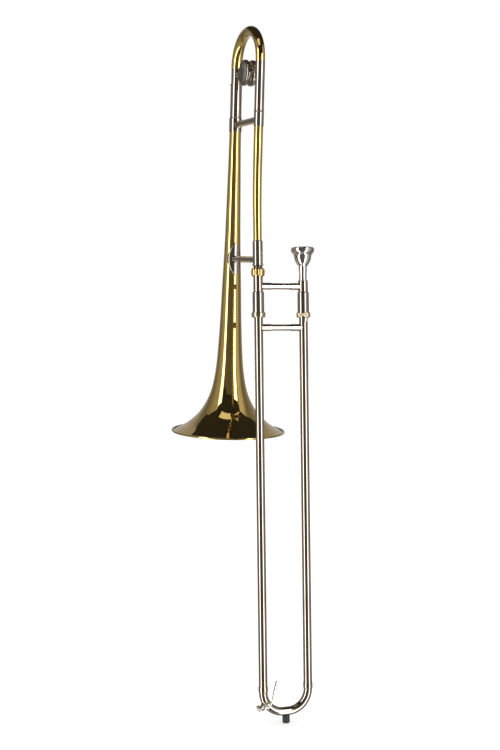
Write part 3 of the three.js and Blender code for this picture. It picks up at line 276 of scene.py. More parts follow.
metalLooks = {
    # yellow brass, drawn and spun, buffed and clear lacquered: deep gold with a soft olive drift
    "lacqueredBrass": {"deep": "#D4B25E", "light": "#DFC06C", "driftSize": 60, "lineSize": 5.0,
                       "lineStretch": (1, 1, 0.15), "smooth": 0.03, "rough": 0.06, "bump": 0.1,
                       "depth": 0.02, "lacquer": 1.0},
    # nickel silver tube, buffed bright: grey with a warm cast
    "nickelSilverTube": {"deep": "#A0958A", "light": "#ADA296", "driftSize": 45, "lineSize": 4.0,
                         "lineStretch": (1, 1, 0.15), "smooth": 0.03, "rough": 0.06, "bump": 0.1,
                         "depth": 0.02, "lacquer": 0.1},
    # silver plate on brass: whiter and a little softer
    "silverPlatedBrass": {"deep": "#D2CCC6", "light": "#E3DEDA", "driftSize": 20, "lineSize": 3.0,
                          "lineStretch": (1, 1, 0.3), "smooth": 0.03, "rough": 0.07, "bump": 0.1,
                          "depth": 0.01, "lacquer": 0.0},
    # turned brass rings, pale and bright
    "paleBrassRing": {"deep": "#BCAD8E", "light": "#C9BDA3", "driftSize": 12, "lineSize": 1.5,
                      "lineStretch": (0.4, 0.4, 1), "smooth": 0.12, "rough": 0.2, "bump": 0.3,
                      "depth": 0.01, "lacquer": 0.2},
    # knurled nut of yellow brass, left a little matt between its ridges
    "knurledBrass": {"deep": "#BD9F66", "light": "#CBB07C", "driftSize": 8, "lineSize": 1.0,
                     "lineStretch": (1, 1, 0.3), "smooth": 0.1, "rough": 0.18, "bump": 0.3,
                     "depth": 0.01, "lacquer": 0.0},
    # bright steel of screws, wire and spring
    "brightSteel": {"deep": "#A9A6A2", "light": "#BFBBB6", "driftSize": 8, "lineSize": 0.8,
                    "lineStretch": (1, 1, 1), "smooth": 0.18, "rough": 0.3, "bump": 0.2,
                    "depth": 0.01, "lacquer": 0.0},
}
metals = {name: polishedMetal(name, look) for name, look in metalLooks.items()}


def grainyMaterial(name, look):
    # a dull solid made of grains: cells of the grain's size give dark specks and a fine bump
    material = emptyMaterial(name)
    place = addNode(material, "ShaderNodeTexCoord")
    grain = addNode(material, "ShaderNodeTexVoronoi", {"Scale": 1000 / look["grainSize"]},
                    {"Vector": place.outputs["Object"]})
    tone = addNode(material, "ShaderNodeValToRGB", links={"Fac": grain.outputs["Distance"]})
    for end, colour in zip(tone.color_ramp.elements, ("deep", "light")):
        end.color = linear(look[colour])
    bump = addNode(material, "ShaderNodeBump", {"Strength": look["bump"], "Distance": look["depth"] * mm},
                   {"Height": grain.outputs["Distance"]})
    solid = addNode(material, "ShaderNodeBsdfPrincipled",
                    {"Roughness": look["rough"], "IOR": look["ior"]},
                    {"Base Color": tone.outputs["Color"], "Normal": bump.outputs["Normal"]})
    addNode(material, "ShaderNodeOutputMaterial", links={"Surface": solid.outputs["BSDF"]})
    return material


# natural cork: brown cells about a millimetre across; moulded black rubber with a faint grain
corkStock = grainyMaterial("naturalCork", {"deep": "#6B4527", "light": "#A9794C", "grainSize": 1.1,
                                           "bump": 0.5, "depth": 0.15, "rough": 0.85, "ior": 1.4})
rubberStock = grainyMaterial("mouldedRubber", {"deep": "#1B1B1D", "light": "#2A2A2D", "grainSize": 0.8,
                                               "bump": 0.25, "depth": 0.05, "rough": 0.55, "ior": 1.52})
print("materials made")

# carried-over nodes get the finish of their slot
slotFinish = {
    "polished_brass": metals["lacqueredBrass"], "pale_brass": metals["paleBrassRing"],
    "gold_brass": metals["knurledBrass"], "nickel_silver": metals["nickelSilverTube"],
    "silver_plate": metals["silverPlatedBrass"], "bright_steel": metals["brightSteel"],
    "natural_cork": corkStock, "black_rubber": rubberStock,
}
slotOfNode = {entry["node"]: entry["material_slot"] for entry in frame["record"]["subparts"]}
for nodeName, node in frame["nodes"].items():
    node.data.materials.clear()
    node.data.materials.append(slotFinish[slotOfNode[nodeName]])


def tubeSection(bore, radius, foot, top):
    return [(bore, foot), (radius, foot), (radius, top), (bore, top)]


def addTurned(name, section, ease, body, slot, nodes, carry=inBell, sides=72, sharp=40.0):
    # piece turned about its own axis from a section with eased corners, and carried to its place
    points, faces = turned(eased(section, ease), sides)
    return make(name, [(carry(points), faces)], body, slot, nodes, sharp)


# bell
bell = {
    "length": 545.0, "mouthRadius": 102.2, "wall": 0.5, "beadRadius": 1.9, "rollDegrees": 120,
    "samples": 150, "rollSamples": 22, "sides": 160,
    # share of the length and share of the mouth's radius, from the rim up to the tail
    "outline": [
        (0.003, 0.954), (0.0059, 0.925), (0.0128, 0.856), (0.0257, 0.739), (0.0404, 0.641), (0.055, 0.558),
        (0.0734, 0.48), (0.0954, 0.409), (0.128, 0.332), (0.169, 0.275), (0.22, 0.235), (0.294, 0.2055),
        (0.385, 0.182), (0.477, 0.1655), (0.624, 0.136), (0.771, 0.1185), (0.917, 0.1025), (1, 0.0995),
    ],
}


def smoothThrough(knots, samples):
    # natural cubic spline through the knots over s, the sum of the square roots of the chords: the second
    # derivatives at the knots solve the usual three-term system, and the samples are even in s, so that
    # they lie closer where the knots do
    knots = np.asarray(knots, float)
    n = len(knots)
    s = np.concatenate([[0], np.cumsum(np.linalg.norm(np.diff(knots, axis=0), axis=1) ** 0.5)])
    h = np.diff(s)
    system, right = np.eye(n), np.zeros((n, 2))
    inner = np.arange(1, n - 1)
    system[inner, inner - 1], system[inner, inner + 1] = h[:-1], h[1:]
    system[inner, inner] = 2 * (h[:-1] + h[1:])
    slope = np.diff(knots, axis=0) / h[:, None]
    right[inner] = 6 * (slope[1:] - slope[:-1])
    second = np.linalg.solve(system, right)
    t = np.linspace(0, s[-1], samples)
    k = np.clip(np.searchsorted(s, t, side="right") - 1, 0, n - 2)
    a, b = ((s[k + 1] - t) / h[k])[:, None], ((t - s[k]) / h[k])[:, None]
    bend = ((a ** 3 - a) * second[k] + (b ** 3 - b) * second[k + 1]) * (h[k] ** 2)[:, None] / 6
    return a * knots[k] + b * knots[k + 1] + bend


bellOutside = smoothThrough([(r * bell["mouthRadius"], z * bell["length"]) for z, r in bell["outline"]],
                            bell["samples"])


def bellRadiusAt(height):
    return np.interp(height, bellOutside[:, 1], bellOutside[:, 0])


def offsetLine(line, distance):
    # the same line set off sideways: each point moved along (dz, -dr), the direction across the line
    along = np.gradient(line, axis=0)
    along /= np.linalg.norm(along, axis=1, keepdims=True)
    return line + distance * np.stack([along[:, 1], -along[:, 0]], axis=-1)


def bellProfile():
    middle = np.array([bell["mouthRadius"] - bell["beadRadius"], bell["beadRadius"]])
    roll = np.radians(np.linspace(-90, bell["rollDegrees"], bell["rollSamples"]))
    ring = np.stack([np.cos(roll), np.sin(roll)], axis=-1)
    outerRoll = middle + bell["beadRadius"] * ring
    innerRoll = (middle + (bell["beadRadius"] - bell["wall"]) * ring)[::-1]
    return np.concatenate([offsetLine(bellOutside, -bell["wall"])[::-1], outerRoll, innerRoll, bellOutside])


points, faces = turned(bellProfile(), bell["sides"])
make("bell_flare", [(inBell(points), faces)], "bell_section", "polished_brass", ["bell"], sharp=60)
print("bell made")

# ferrule and sleeve above the bell's tail
bellTop = {"ferruleFoot": 530.9, "ferruleLength": 24.1, "ferruleRadius": 10.95, "tailBore": 10.3,
           "sleeveRadius": 9.95, "sleeveWall": 0.4, "sleeveInsertion": 7, "sleeveTop": 612.6,
           "ringStand": 0.9, "ringLength": 1.9}


def ferruleSection(foot, length, radius, footBore, topBore, turnIn=0.35, meetShare=0.55, leadShare=1.6):
    # short drawn sleeve whose ends are turned in to the two tubes that it joins
    top, middle = foot + length, foot + length * meetShare
    footLead, topLead = (radius - footBore) * leadShare, (radius - topBore) * leadShare
    return [(footBore, foot), (radius - turnIn, foot), (radius, foot + footLead), (radius, top - topLead),
            (topBore + turnIn, top), (topBore, top), (topBore, middle), (footBore, middle)]


addTurned("bell_ferrule",
          ferruleSection(bellTop["ferruleFoot"], bellTop["ferruleLength"], bellTop["ferruleRadius"],
                         bellTop["tailBore"], bellTop["sleeveRadius"] + fit), 0.5,
          "bell_section", "nickel_silver", ["bell_tail_ferrule"])
sleeveFoot = bellTop["ferruleFoot"] + bellTop["ferruleLength"] - bellTop["sleeveInsertion"]
sleeveRadius, sleeveTop = bellTop["sleeveRadius"], bellTop["sleeveTop"]
addTurned("bell_sleeve",
          tubeSection(sleeveRadius - bellTop["sleeveWall"], sleeveRadius, sleeveFoot, sleeveTop), 0.12,
          "bell_section", "nickel_silver", ["bell_tuning_sleeve"])
addTurned("sleeve_end_ring", tubeSection(sleeveRadius + fit, sleeveRadius + bellTop["ringStand"],
                                         sleeveTop - bellTop["ringLength"], sleeveTop), 0.6,
          "bell_section", "nickel_silver", ["bell_sleeve_ring"])

# neckpipe, its ferrule and the tube of the tuning slide
neck = {"spacing": 104.0, "bendRadius": 1000.0, "lowerRadius": 7.0, "upperRadius": 7.7, "wall": 0.5,
        "socketFoot": lipHeight + 19.3, "ferruleRadius": 8.4, "ferruleLength": 25.0, "overlap": 11.0,
        "tubeRadius": 7.3, "tubeWall": 0.5, "tubeLength": 90.0, "tubeGap": 0.3}
slideOffset = layout["slideOffset"]
bendHeight = (slideOffset * math.cos(tiltAngle) - neck["spacing"]) / math.sin(tiltAngle)
tangent = neck["bendRadius"] * math.tan(tiltAngle / 2)
neckFoot = (slideOffset * math.cos(tiltAngle) - neck["socketFoot"] * math.sin(tiltAngle),
            slideOffset * math.sin(tiltAngle) + neck["socketFoot"] * math.cos(tiltAngle))
bendTop = slideOffset * math.sin(tiltAngle) + bendHeight * math.cos(tiltAngle) + tangent
neckPath = arcPath(neckFoot, 90 + layout["tilt"], [
    (bendHeight - tangent - neck["socketFoot"], 0, 0, 8),
    (0, neck["bendRadius"], -layout["tilt"], 24),
    (bellTop["ferruleFoot"] + neck["overlap"] - bendTop, 0, 0, 6),
])
neckRadius = np.linspace(neck["lowerRadius"], neck["upperRadius"], len(neckPath))
points, faces = tubeAlong(neckPath, neckRadius, neck["wall"])
make("neck_pipe", [(inBell(points), faces)], "bell_section", "polished_brass", ["neckpipe"])


def onNeck(points):
    # frame of the bell, moved out to the neckpipe's upper end
    return inBell(moved(points, neck["spacing"]))


addTurned("neck_ferrule", ferruleSection(bellTop["ferruleFoot"], neck["ferruleLength"], neck["ferruleRadius"],
                                         neck["upperRadius"] + fit, neck["tubeRadius"] + fit), 0.5,
          "bell_section", "nickel_silver", ["neckpipe_ferrule"], onNeck)
tubeFoot = bellTop["ferruleFoot"] + neck["overlap"] + neck["tubeGap"]
addTurned("neck_slide_tube", tubeSection(neck["tubeRadius"] - neck["tubeWall"], neck["tubeRadius"], tubeFoot,
                                         tubeFoot + neck["tubeLength"]), 0.15,
          "bell_section", "nickel_silver", ["neck_tuning_tube"], onNeck)

# slide receiver: socket for the neckpipe above, thin lip, and the thread that the nut runs on
receiver = {"radius": 8.5, "top": 41.0, "socketFoot": 19.0, "bore": 6.8, "lipRadius": 9.8, "lipHalf": 0.8,
            "taper": 1.2, "mouthGap": 0.3, "mouthDepth": 0.2, "socketGap": 0.05,
            "threadRadius": 7.8, "threadRoot": 7.35, "threadLength": 12.0, "threadPitch": 1.0}


def receiverProfile():
    # socket with its lip, then the thread: one ring for each turn, a zigzag between root and crest
    lip, top, pipe = receiver["lipHalf"], receiver["top"], neck["lowerRadius"]
    body = eased([
        (receiver["bore"], receiver["socketFoot"]), (receiver["bore"], -lip), (receiver["lipRadius"], -lip),
        (receiver["lipRadius"], lip), (receiver["radius"], lip),
        (receiver["radius"], top - receiver["taper"]), (pipe + receiver["mouthGap"], top),
        (pipe + receiver["socketGap"], top - receiver["mouthDepth"]),
        (pipe + receiver["socketGap"], receiver["socketFoot"]),
    ], 0.35)
    turns = int(receiver["threadLength"] / receiver["threadPitch"])
    k = np.arange(2 * turns + 1)
    zigzag = np.stack([np.where(k % 2, receiver["threadRadius"], receiver["threadRoot"]),
                       -lip - receiver["threadLength"] + k * receiver["threadPitch"] / 2], axis=-1)
    foot = [(receiver["bore"], zigzag[0, 1])]
    screw = np.concatenate([foot, zigzag, [(receiver["bore"], -lip)]])
    return body, screw


for shape, name, nodes in zip(
        receiverProfile(), ("receiver_socket", "receiver_thread"), (["slide_receiver"], [])):
    points, faces = turned(shape)
    make(name, [(inSlide(moved(points, 0, 0, lipHeight)), faces)], "bell_section", "nickel_silver", nodes, 50)
print("neck and receiver made")


# braces of the bell section and the tuning slide
braceSides = 48


def heldBy(points, ends):
    # both ends of a brace are pressed against the tubes that it joins
    for end in ends:
        points = heldOutside(points, **end)
    return points


def braceRod(span, radius, ends):
    # straight rod along X, its two ends pressed against the tubes
    section = [(0, 0)] + [(radius, share * span) for share in (0, 0.25, 0.75, 1)] + [(0, span)]
    points, faces = turned(section, braceSides)
    return heldBy(alongX(points), ends), faces


def braceCollar(rod, stand, low, high, ends):
    # turned collar along X, pressed against the tube that it sits on
    points, faces = turned(eased(tubeSection(rod + fit, rod + stand, low, high), 0.35), braceSides)
    return heldBy(alongX(points), ends), faces


def ballEnd(radius, rod, middle, inset=0.6, meet=0.98):
    # section of the ball that a brace ends in: r = sqrt(radius^2 - x^2), from where it meets the rod
    t = np.radians(np.linspace(0, 180, 25))
    r, x = radius * np.sin(t), -radius * np.cos(t)
    keep = r > rod * meet
    return [(rod - inset, middle + x[keep][0]), *zip(r[keep], middle + x[keep]),
            (rod - inset, middle + x[keep][-1])]


# the end of a brace piece's name, and of the node that it stands for
bellBraceNames = (("_rod_polished", "_rod"), ("_bell_end", "_bell_collar"), ("_neck_end", "_neck_collar"))


def addBrace(prefix, body, rise, near, far, span, rod, stand, collar, ball=None, ballOut=1.6, slant=0.0,
             nearWall=None, carry=inBell, names=bellBraceNames, nodePrefix=None):
    # near and far are the radii of the tubes at the two ends; the near end has a ball, its middle ballOut
    # off the tube, or a collar
    ends = [{"radius": nearWall or near + fit, "middle": 0.0, "side": 1},
            {"radius": far + fit, "middle": span, "side": -1, "slant": slant}]
    shapes = [braceRod(span, rod, ends)]
    if ball:
        points, faces = turned(ballEnd(ball, rod, near + ballOut), braceSides)
        shapes.append((heldBy(alongX(points), ends[:1]), faces))
    else:
        shapes.append(braceCollar(rod, stand, 0, near + collar, ends[:1]))
    shapes.append(braceCollar(rod, stand, span - far - collar, span, ends[1:]))
    for (points, faces), (suffix, node) in zip(shapes, names):
        make(prefix + suffix, [(carry(moved(points, 0, 0, rise)), faces)], body, "nickel_silver",
             [(nodePrefix or prefix) + node])


bellBrace = {"rod": 5.5, "stand": 0.55, "collar": 4.6, "ball": 6.6}
braceHeights = {"upper": 542.6, "lower": 309.03}
addBrace("upper_brace", "bell_section", braceHeights["upper"], bellTop["ferruleRadius"],
         neck["ferruleRadius"], neck["spacing"], **bellBrace)

# lens-shaped flange that spreads the lower brace's pull over the bell
flange = {"halfHeight": 30.0, "halfWidth": 12.4, "thickness": 1.25, "edge": 0.9, "seat": 0.03,
          "braceStand": 1.3, "rows": 61, "columns": 29}
flangeHeight = braceHeights["lower"]
lowerSpan = slideOffset * math.cos(tiltAngle) \
    - math.tan(tiltAngle) * (flangeHeight - slideOffset * math.sin(tiltAngle))
lensRadius = float(bellRadiusAt(flangeHeight)) + flange["braceStand"]
addBrace("lower_brace", "bell_section", flangeHeight, lensRadius, receiver["radius"], lowerSpan, **bellBrace,
         slant=-math.tan(tiltAngle), nearWall=lensRadius)


def lensPlate():
    # plate on the bell: y = u w(v), z = v h, x = sqrt((R(z) + seat + lift)^2 - y^2), w(v) the two-arc lens
    # outline; lift = thickness sqrt(1 - (1 - e)^2), e the distance from the outline over the edge's width, at
    # most 1
    h, w = flange["halfHeight"], flange["halfWidth"]
    sweep = (h ** 2 + w ** 2) / (2 * w)
    v = np.sin(np.linspace(-np.pi / 2, np.pi / 2, flange["rows"]))[:, None]
    width = np.maximum(np.sqrt(sweep ** 2 - (v * h) ** 2) - (sweep - w), 0)
    u = np.linspace(-1, 1, flange["columns"])[None, :]
    z, y = flangeHeight + v * h + 0 * u, u * width
    edge = np.minimum(1, np.minimum((1 - np.abs(u)) * width, (1 - np.abs(v)) * h) / flange["edge"])
    lift = flange["thickness"] * np.sqrt(np.clip(1 - (1 - edge) ** 2, 0.0, 1))
    radius = bellRadiusAt(z) + flange["seat"]
    top = np.stack([np.sqrt((radius + lift) ** 2 - y ** 2), y, z], axis=-1)
    under = np.stack([np.sqrt(radius ** 2 - y ** 2), y, z], axis=-1)[:, ::-1]
    grid = np.concatenate([top, under], axis=1)
    rows, columns = grid.shape[:2]
    return grid.reshape(-1, 3), gridFaces(rows, columns, closeRows=False)


points, faces = lensPlate()
make("lens_flange", [(inBell(points), faces)], "bell_section", "nickel_silver", ["lower_brace_flange"], 60)

# tuning slide: brass bow, two nickel legs and the brace that carries the balance discs
tuning = {"joint": 638.4, "jointGap": 0.1, "bowStraight": 4.0, "bowWall": 0.5, "neckRadius": 7.85,
          "bellRadius": 9.6, "bellLegRadius": 9.25, "bellLegLength": 100.0, "neckLegRadius": 8.1,
          "neckLegBore": 7.6, "legFoot": 556.2, "footRingStand": 0.75, "footRingLength": 1.8, "shoulder": 1.5,
          "braceHeight": 628.0, "tenon": 3.6, "tenonWall": 0.6, "tenonGap": 0.05}
tuningBrace = {"rod": 4.6, "stand": 0.5, "collar": 4.0}
straight = (tuning["bowStraight"], 0, 0, 4)
bowPath = arcPath((neck["spacing"], tuning["joint"]), 90,
                  [straight, (0, neck["spacing"] / 2, 180, 72), straight])
share = np.concatenate([[0], np.cumsum(np.linalg.norm(np.diff(bowPath, axis=0), axis=1))])
share /= share[-1]
points, faces = tubeAlong(bowPath,
                          tuning["neckRadius"] + (tuning["bellRadius"] - tuning["neckRadius"]) * share,
                          tuning["bowWall"])
make("tuning_crook", [(inBell(points), faces)], "tuning_slide", "polished_brass", ["tuning_bow"])
joint, legFoot, legRadius, legBore = [tuning[k] for k in ("joint", "legFoot", "neckLegRadius", "neckLegBore")]
legTop, tenonTop = joint - tuning["jointGap"], joint + tuning["tenon"]
bellTenon, neckTenon = [tuning[k] - tuning["bowWall"] - tuning["tenonGap"]
                        for k in ("bellRadius", "neckRadius")]
bellTenonBore, neckTenonBore = bellTenon - tuning["tenonWall"], neckTenon - tuning["tenonWall"]
bellLegFoot = joint - tuning["bellLegLength"]
addTurned("bell_leg", [
    (bellTenonBore, bellLegFoot), (tuning["bellLegRadius"], bellLegFoot), (tuning["bellLegRadius"], legTop),
    (bellTenon, legTop), (bellTenon, tenonTop), (bellTenonBore, tenonTop),
], 0.2, "tuning_slide", "nickel_silver", ["tuning_bell_leg"])
ringTop, ringRadius = legFoot + tuning["footRingLength"], legRadius + tuning["footRingStand"]
addTurned("neck_leg", [
    (legBore, legFoot), (ringRadius, legFoot), (ringRadius, ringTop), (legRadius, ringTop),
    (legRadius, legTop), (neckTenon, legTop), (neckTenon, tenonTop), (neckTenonBore, tenonTop),
    (neckTenonBore, joint - tuning["shoulder"]), (legBore, joint - tuning["shoulder"]),
], 0.4, "tuning_slide", "nickel_silver", ["tuning_neck_leg"], onNeck)
addBrace("tuning_brace", "tuning_slide", tuning["braceHeight"], tuning["bellLegRadius"], legRadius,
         neck["spacing"], **tuningBrace)

# balance discs: two round-edged discs with a shallow dished face, and the screw between them
discs = {"radius": 21.9, "half": 3.8, "edge": 2.6, "dish": 0.5, "dishRadius": 15.0, "dishSlope": 1.2,
         "centre": 6.5, "rise": -2.8, "screwRise": 8.0, "screwRadius": 2.0, "headRadius": 3.4,
         "headSide": 0.45, "headTop": 0.5, "crownShare": 0.7, "edgeSamples": 17, "sides": 96}


def discSection():
    t = np.radians(np.linspace(90, -90, discs["edgeSamples"]))
    flat = discs["half"] - discs["edge"]
    edge = np.stack([discs["radius"] - discs["edge"] + discs["edge"] * np.cos(t),
                     np.sign(np.sin(t)) * flat + discs["edge"] * np.sin(t)], axis=-1)
    face = discs["half"] - discs["dish"]
    dished = [(0, face), (discs["dishRadius"] - discs["dishSlope"], face),
              (discs["dishRadius"], discs["half"])]
    return np.concatenate([dished, edge, [(r, -h) for r, h in dished[::-1]]])


def onBrace(points, rise, y=0.0):
    # frame of the bell, moved to the middle of the tuning slide's brace
    return inBell(moved(points, neck["spacing"] / 2, y, tuning["braceHeight"] + rise))


for side, end in ((-1, "left"), (1, "right")):
    points, faces = turned(discSection(), discs["sides"])
    make("balance_weight_" + end, [(onBrace(alongY(points), discs["rise"], side * discs["centre"]), faces)],
         "tuning_slide", "nickel_silver", ["balance_disc_" + end], 50)
screwFace = discs["centre"] + discs["half"] - discs["dish"]
headPoints, headFaces = turned(eased([
    (0, 0), (discs["headRadius"], 0), (discs["headRadius"], discs["headSide"]),
    (discs["headRadius"] * discs["crownShare"], discs["headTop"]), (0, discs["headTop"])], 0.3), 40)
screwSurfaces = []
for side in (-1, 1):
    points = alongY(headPoints)
    points[:, 1] = side * (screwFace + points[:, 1])
    screwSurfaces.append((onBrace(points, discs["screwRise"]), headFaces))
shankPoints, shankFaces = turned(tubeSection(0, discs["screwRadius"], -screwFace, screwFace), 24)
screwSurfaces.append((onBrace(alongY(shankPoints), discs["screwRise"]), shankFaces))
make("balance_clamp_screw", screwSurfaces, "tuning_slide", "bright_steel", ["balance_screw"])
print("tuning slide made")

# hand slide: every section is radius and drop, counted down from the receiver's lip
slide = {
    "spacing": 80.5, "outerRadius": 7.3, "tubeRadius": 8.0, "socketRadius": 8.35, "innerTops": (18.3, 49.6),
    "innerTube": [(5.95, 697), (6.6, 697), (6.6, 548), (6.45, 545)], "innerBore": 5.95, "innerRadius": 6.45,
    "tenon": [(5.9, -17), (6.5, -17), (6.5, 13.1), (9.3, 13.1), (9.3, 15.7), (8.0, 15.7), (8.0, 54.9),
              (6.75, 54.9), (6.75, 18), (5.9, 18)],
    "mouthpieceSocket": [(6.65, 25.4), (7.9, 25.4), (8.35, 26.2), (8.35, 44.6), (8.0, 44.6), (8.0, 54.9),
                         (6.75, 54.9), (6.75, 49), (6.1, 49)],
    "barrel": [(8.05, 44.9), (9.1, 44.9), (9.75, 46.4), (9.75, 81.6), (10.6, 81.6), (10.6, 84.0),
               (9.1, 84.0), (9.1, 46.5), (8.05, 46.5)],
    "endRing": [(9.85, 79.5), (11.2, 79.5), (11.75, 81.2), (11.75, 86.6), (11.2, 88.1), (9.1, 88.1),
                (9.1, 86.3), (10.9, 86.3), (10.9, 81.3), (9.85, 81.3)],
    "outerTube": [(6.9, 715.4), (7.3, 715.4), (7.3, 60.3), (6.9, 60.3)],
    "topFerrule": [(7.32, 75.3), (7.9, 75.3), (8.2, 74.3), (8.2, 60.3), (7.32, 60.3)],
    "bowFerrule": [(7.22, 720.6), (7.5, 720.6), (8.0, 719.8), (8.0, 711.4), (7.6, 710.4),
                   (7.32, 710.4), (7.32, 715.6), (7.22, 715.6)],
}
spacing = slide["spacing"]
slideSides = ((0, "neck"), (spacing, "mouth"))


def height(drop):
    return lipHeight - drop


def ringPiece(name, section, along, body, slot, nodes, ease):
    # a turned piece on one of the slide's two axes
    points, faces = turned(eased([(r, height(d)) for r, d in section], ease))
    return make(name, [(inSlide(points, along), faces)], body, slot, nodes)


ringPiece("tenon", slide["tenon"], 0, "inner_slide", "nickel_silver", ["slide_tenon"], 0.25)
ringPiece("mouthpiece_socket", slide["mouthpieceSocket"], spacing, "inner_slide", "nickel_silver",
          ["mouthpiece_receiver"], 0.25)
for (along, side), top in zip(slideSides, slide["innerTops"]):
    section = slide["innerTube"] + [(slide["innerRadius"], top), (slide["innerBore"], top)]
    ringPiece(f"inner_tube_{side}", section, along, "inner_slide", "nickel_silver",
              [f"inner_tube_{side}_side"], 0.2)
    ringPiece(f"barrel_{side}", slide["barrel"], along, "inner_slide", "nickel_silver",
              [f"cork_barrel_{side}_side"], 0.5)
    if side == "neck":
        ringPiece("barrel_ring", slide["endRing"], along, "inner_slide", "pale_brass",
                  ["barrel_end_ring"], 0.6)

# slide lock ring: as the other ring, but its lower lip has a notch and its rim is knurled
lockRing = {"studDegrees": -76.0, "notchHalf": 2.5, "notchRadius": 10.0, "lipDrop": 86.0,
            "grooveRadius": 10.9, "knurls": 60, "knurlDepth": 0.16, "rimFrom": 11.55, "rimFade": 0.2,
            "sides": 480}


def lockRingSurface():
    # r - depth rim(r) cos^2(knurls a / 2), rim going from 0 to 1 over its fade; the lower lip is pushed out
    # to the groove where |a - stud| times the notch's radius is less than half the notch
    section = [(r, height(d)) for r, d in slide["endRing"]]
    points, faces = turned(eased(section, 0.5, 5), lockRing["sides"])
    r, a = np.hypot(points[:, 0], points[:, 1]), np.arctan2(points[:, 1], points[:, 0])
    rim = np.clip((r - lockRing["rimFrom"]) / lockRing["rimFade"], 0, 1)
    grooved = r - rim * lockRing["knurlDepth"] * np.cos(lockRing["knurls"] * a / 2) ** 2
    away = np.abs((a - math.radians(lockRing["studDegrees"]) + np.pi) % (2 * np.pi) - np.pi)
    inNotch = away * lockRing["notchRadius"] < lockRing["notchHalf"]
    lip = (points[:, 2] < height(lockRing["lipDrop"])) & inNotch & (r < lockRing["grooveRadius"])
    grooved = np.where(lip, lockRing["grooveRadius"], grooved)
    points[:, 0], points[:, 1] = grooved * np.cos(a), grooved * np.sin(a)
    return points, faces


points, faces = lockRingSurface()
make("lock_ring", [(inSlide(points, spacing), faces)], "slide_lock", "pale_brass", ["slide_lock_ring"])

# knurled nut: barrel outline with flutes between its ridges
nut = {"top": 5.4, "length": 13.6, "radius": 11.45, "endRadius": 10.0, "bulge": 3.2, "bore": 8.15,
       "footBore": 8.05, "chamberRadius": 9.6, "chamberTop": 12.8, "chamberRise": 2.8, "outsideFrom": 9.9,
       "flutes": 22, "fluteDepth": 0.3, "plain": 1.2, "plainShare": 0.5, "samples": 33, "sides": 352}


def nutSurface():
    # r(s, a) = barrel(s) - depth band(s) cos^2(flutes a / 2), s the share of its length, where
    # barrel(s) = end + (radius - end) (1 - |2s - 1|^bulge) and band goes from 0 to 1 past each plain end
    s = np.linspace(0, 1, nut["samples"])
    barrel = nut["endRadius"] + (nut["radius"] - nut["endRadius"]) * (1 - np.abs(2 * s - 1) ** nut["bulge"])
    top, foot = height(nut["top"]), height(nut["top"] + nut["length"])
    outer = np.stack([barrel, foot + s * nut["length"]], axis=-1)
    chamberTop, chamberFoot = height(nut["chamberTop"]), foot + nut["chamberRise"]
    bore = [(nut["bore"], top), (nut["bore"], chamberTop), (nut["chamberRadius"], chamberTop),
            (nut["chamberRadius"], chamberFoot), (nut["footBore"], chamberFoot), (nut["footBore"], foot)]
    points, faces = turned(np.concatenate([outer, bore]), nut["sides"])
    r, a = np.hypot(points[:, 0], points[:, 1]), np.arctan2(points[:, 1], points[:, 0])
    inEnd = np.minimum(points[:, 2] - foot, top - points[:, 2])
    band = np.clip((inEnd - nut["plain"] * nut["plainShare"]) / nut["plain"], 0, 1) * (r > nut["outsideFrom"])
    r = r - nut["fluteDepth"] * band * np.cos(nut["flutes"] * a / 2) ** 2
    points[:, 0], points[:, 1] = r * np.cos(a), r * np.sin(a)
    return points, faces


points, faces = nutSurface()
make("receiver_nut", [(inSlide(points), faces)], "lock_nut", "gold_brass", ["lock_nut"], 50)


# braces of the hand slide: a rod in two long sockets
slideBrace = {"rod": 5.3, "stand": 0.6, "collar": 15, "carry": inSlide,
              "names": (("_bar", "_rod"), ("_left_socket", "_neck_socket"),
                        ("_right_socket", "_mouth_socket"))}
slideBraceDrops = {"hand": 35.5, "outer": 105.2}
addBrace("hand_brace", "inner_slide", height(slideBraceDrops["hand"]), slide["tubeRadius"],
         slide["socketRadius"], spacing, **slideBrace)
addBrace("outer_brace", "outer_slide", height(slideBraceDrops["outer"]), slide["outerRadius"],
         slide["outerRadius"], spacing, **slideBrace, nodePrefix="slide_brace")

# mouthpiece: radius and rise above the receiver's lip, the outside from the rim down, then the bore back up
mouthpiece = {
    "rim": 31.0, "outsideSamples": 120, "insideSamples": 70, "sides": 128,
    "outside": [(15.4, 31.0), (17.0, 31.0), (18.4, 30.7), (19.3, 29.9), (19.8, 28.4), (19.9, 26.2),
                (19.6, 24.5), (18.7, 22.7), (17.2, 20.6), (15.8, 18.9), (15.1, 17.6), (14.85, 16.6),
                (14.7, 14.9), (14.45, 12.8), (13.9, 10.4), (13.1, 8.3), (11.9, 5.6), (10.7, 3.6), (9.6, 2.0),
                (8.4, 0.4),
                (7.5, -0.9), (7.05, -2.0), (6.95, -5.0), (6.9, -8.0), (6.6, -11.5), (6.32, -14.8),
                (6.4, -18.0), (6.55, -21.7), (6.45, -24.5), (6.2, -33.0), (5.75, -48.4)],
    "inside": [(4.9, -48.4), (4.6, -40.0), (4.0, -22.0), (3.45, -8.0), (3.4, -4.0), (3.5, -1.0), (4.3, 1.0),
               (6.2, 3.8), (8.6, 8.0), (10.6, 12.3), (12.0, 18.0), (12.6, 23.5), (12.9, 27.4), (13.5, 29.6),
               (14.4, 30.75), (15.4, 31.0)],
}
profile = np.concatenate([smoothThrough(mouthpiece[part], mouthpiece[part + "Samples"])
                          for part in ("outside", "inside")])
profile[:, 1] += lipHeight
profile[:, 1] = np.minimum(profile[:, 1], lipHeight + mouthpiece["rim"])
points, faces = turned(profile, mouthpiece["sides"])
make("mouth_cup", [(inSlide(points, spacing), faces)], "mouthpiece", "silver_plate", ["mouthpiece"], 60)
print("joint and mouthpiece made")

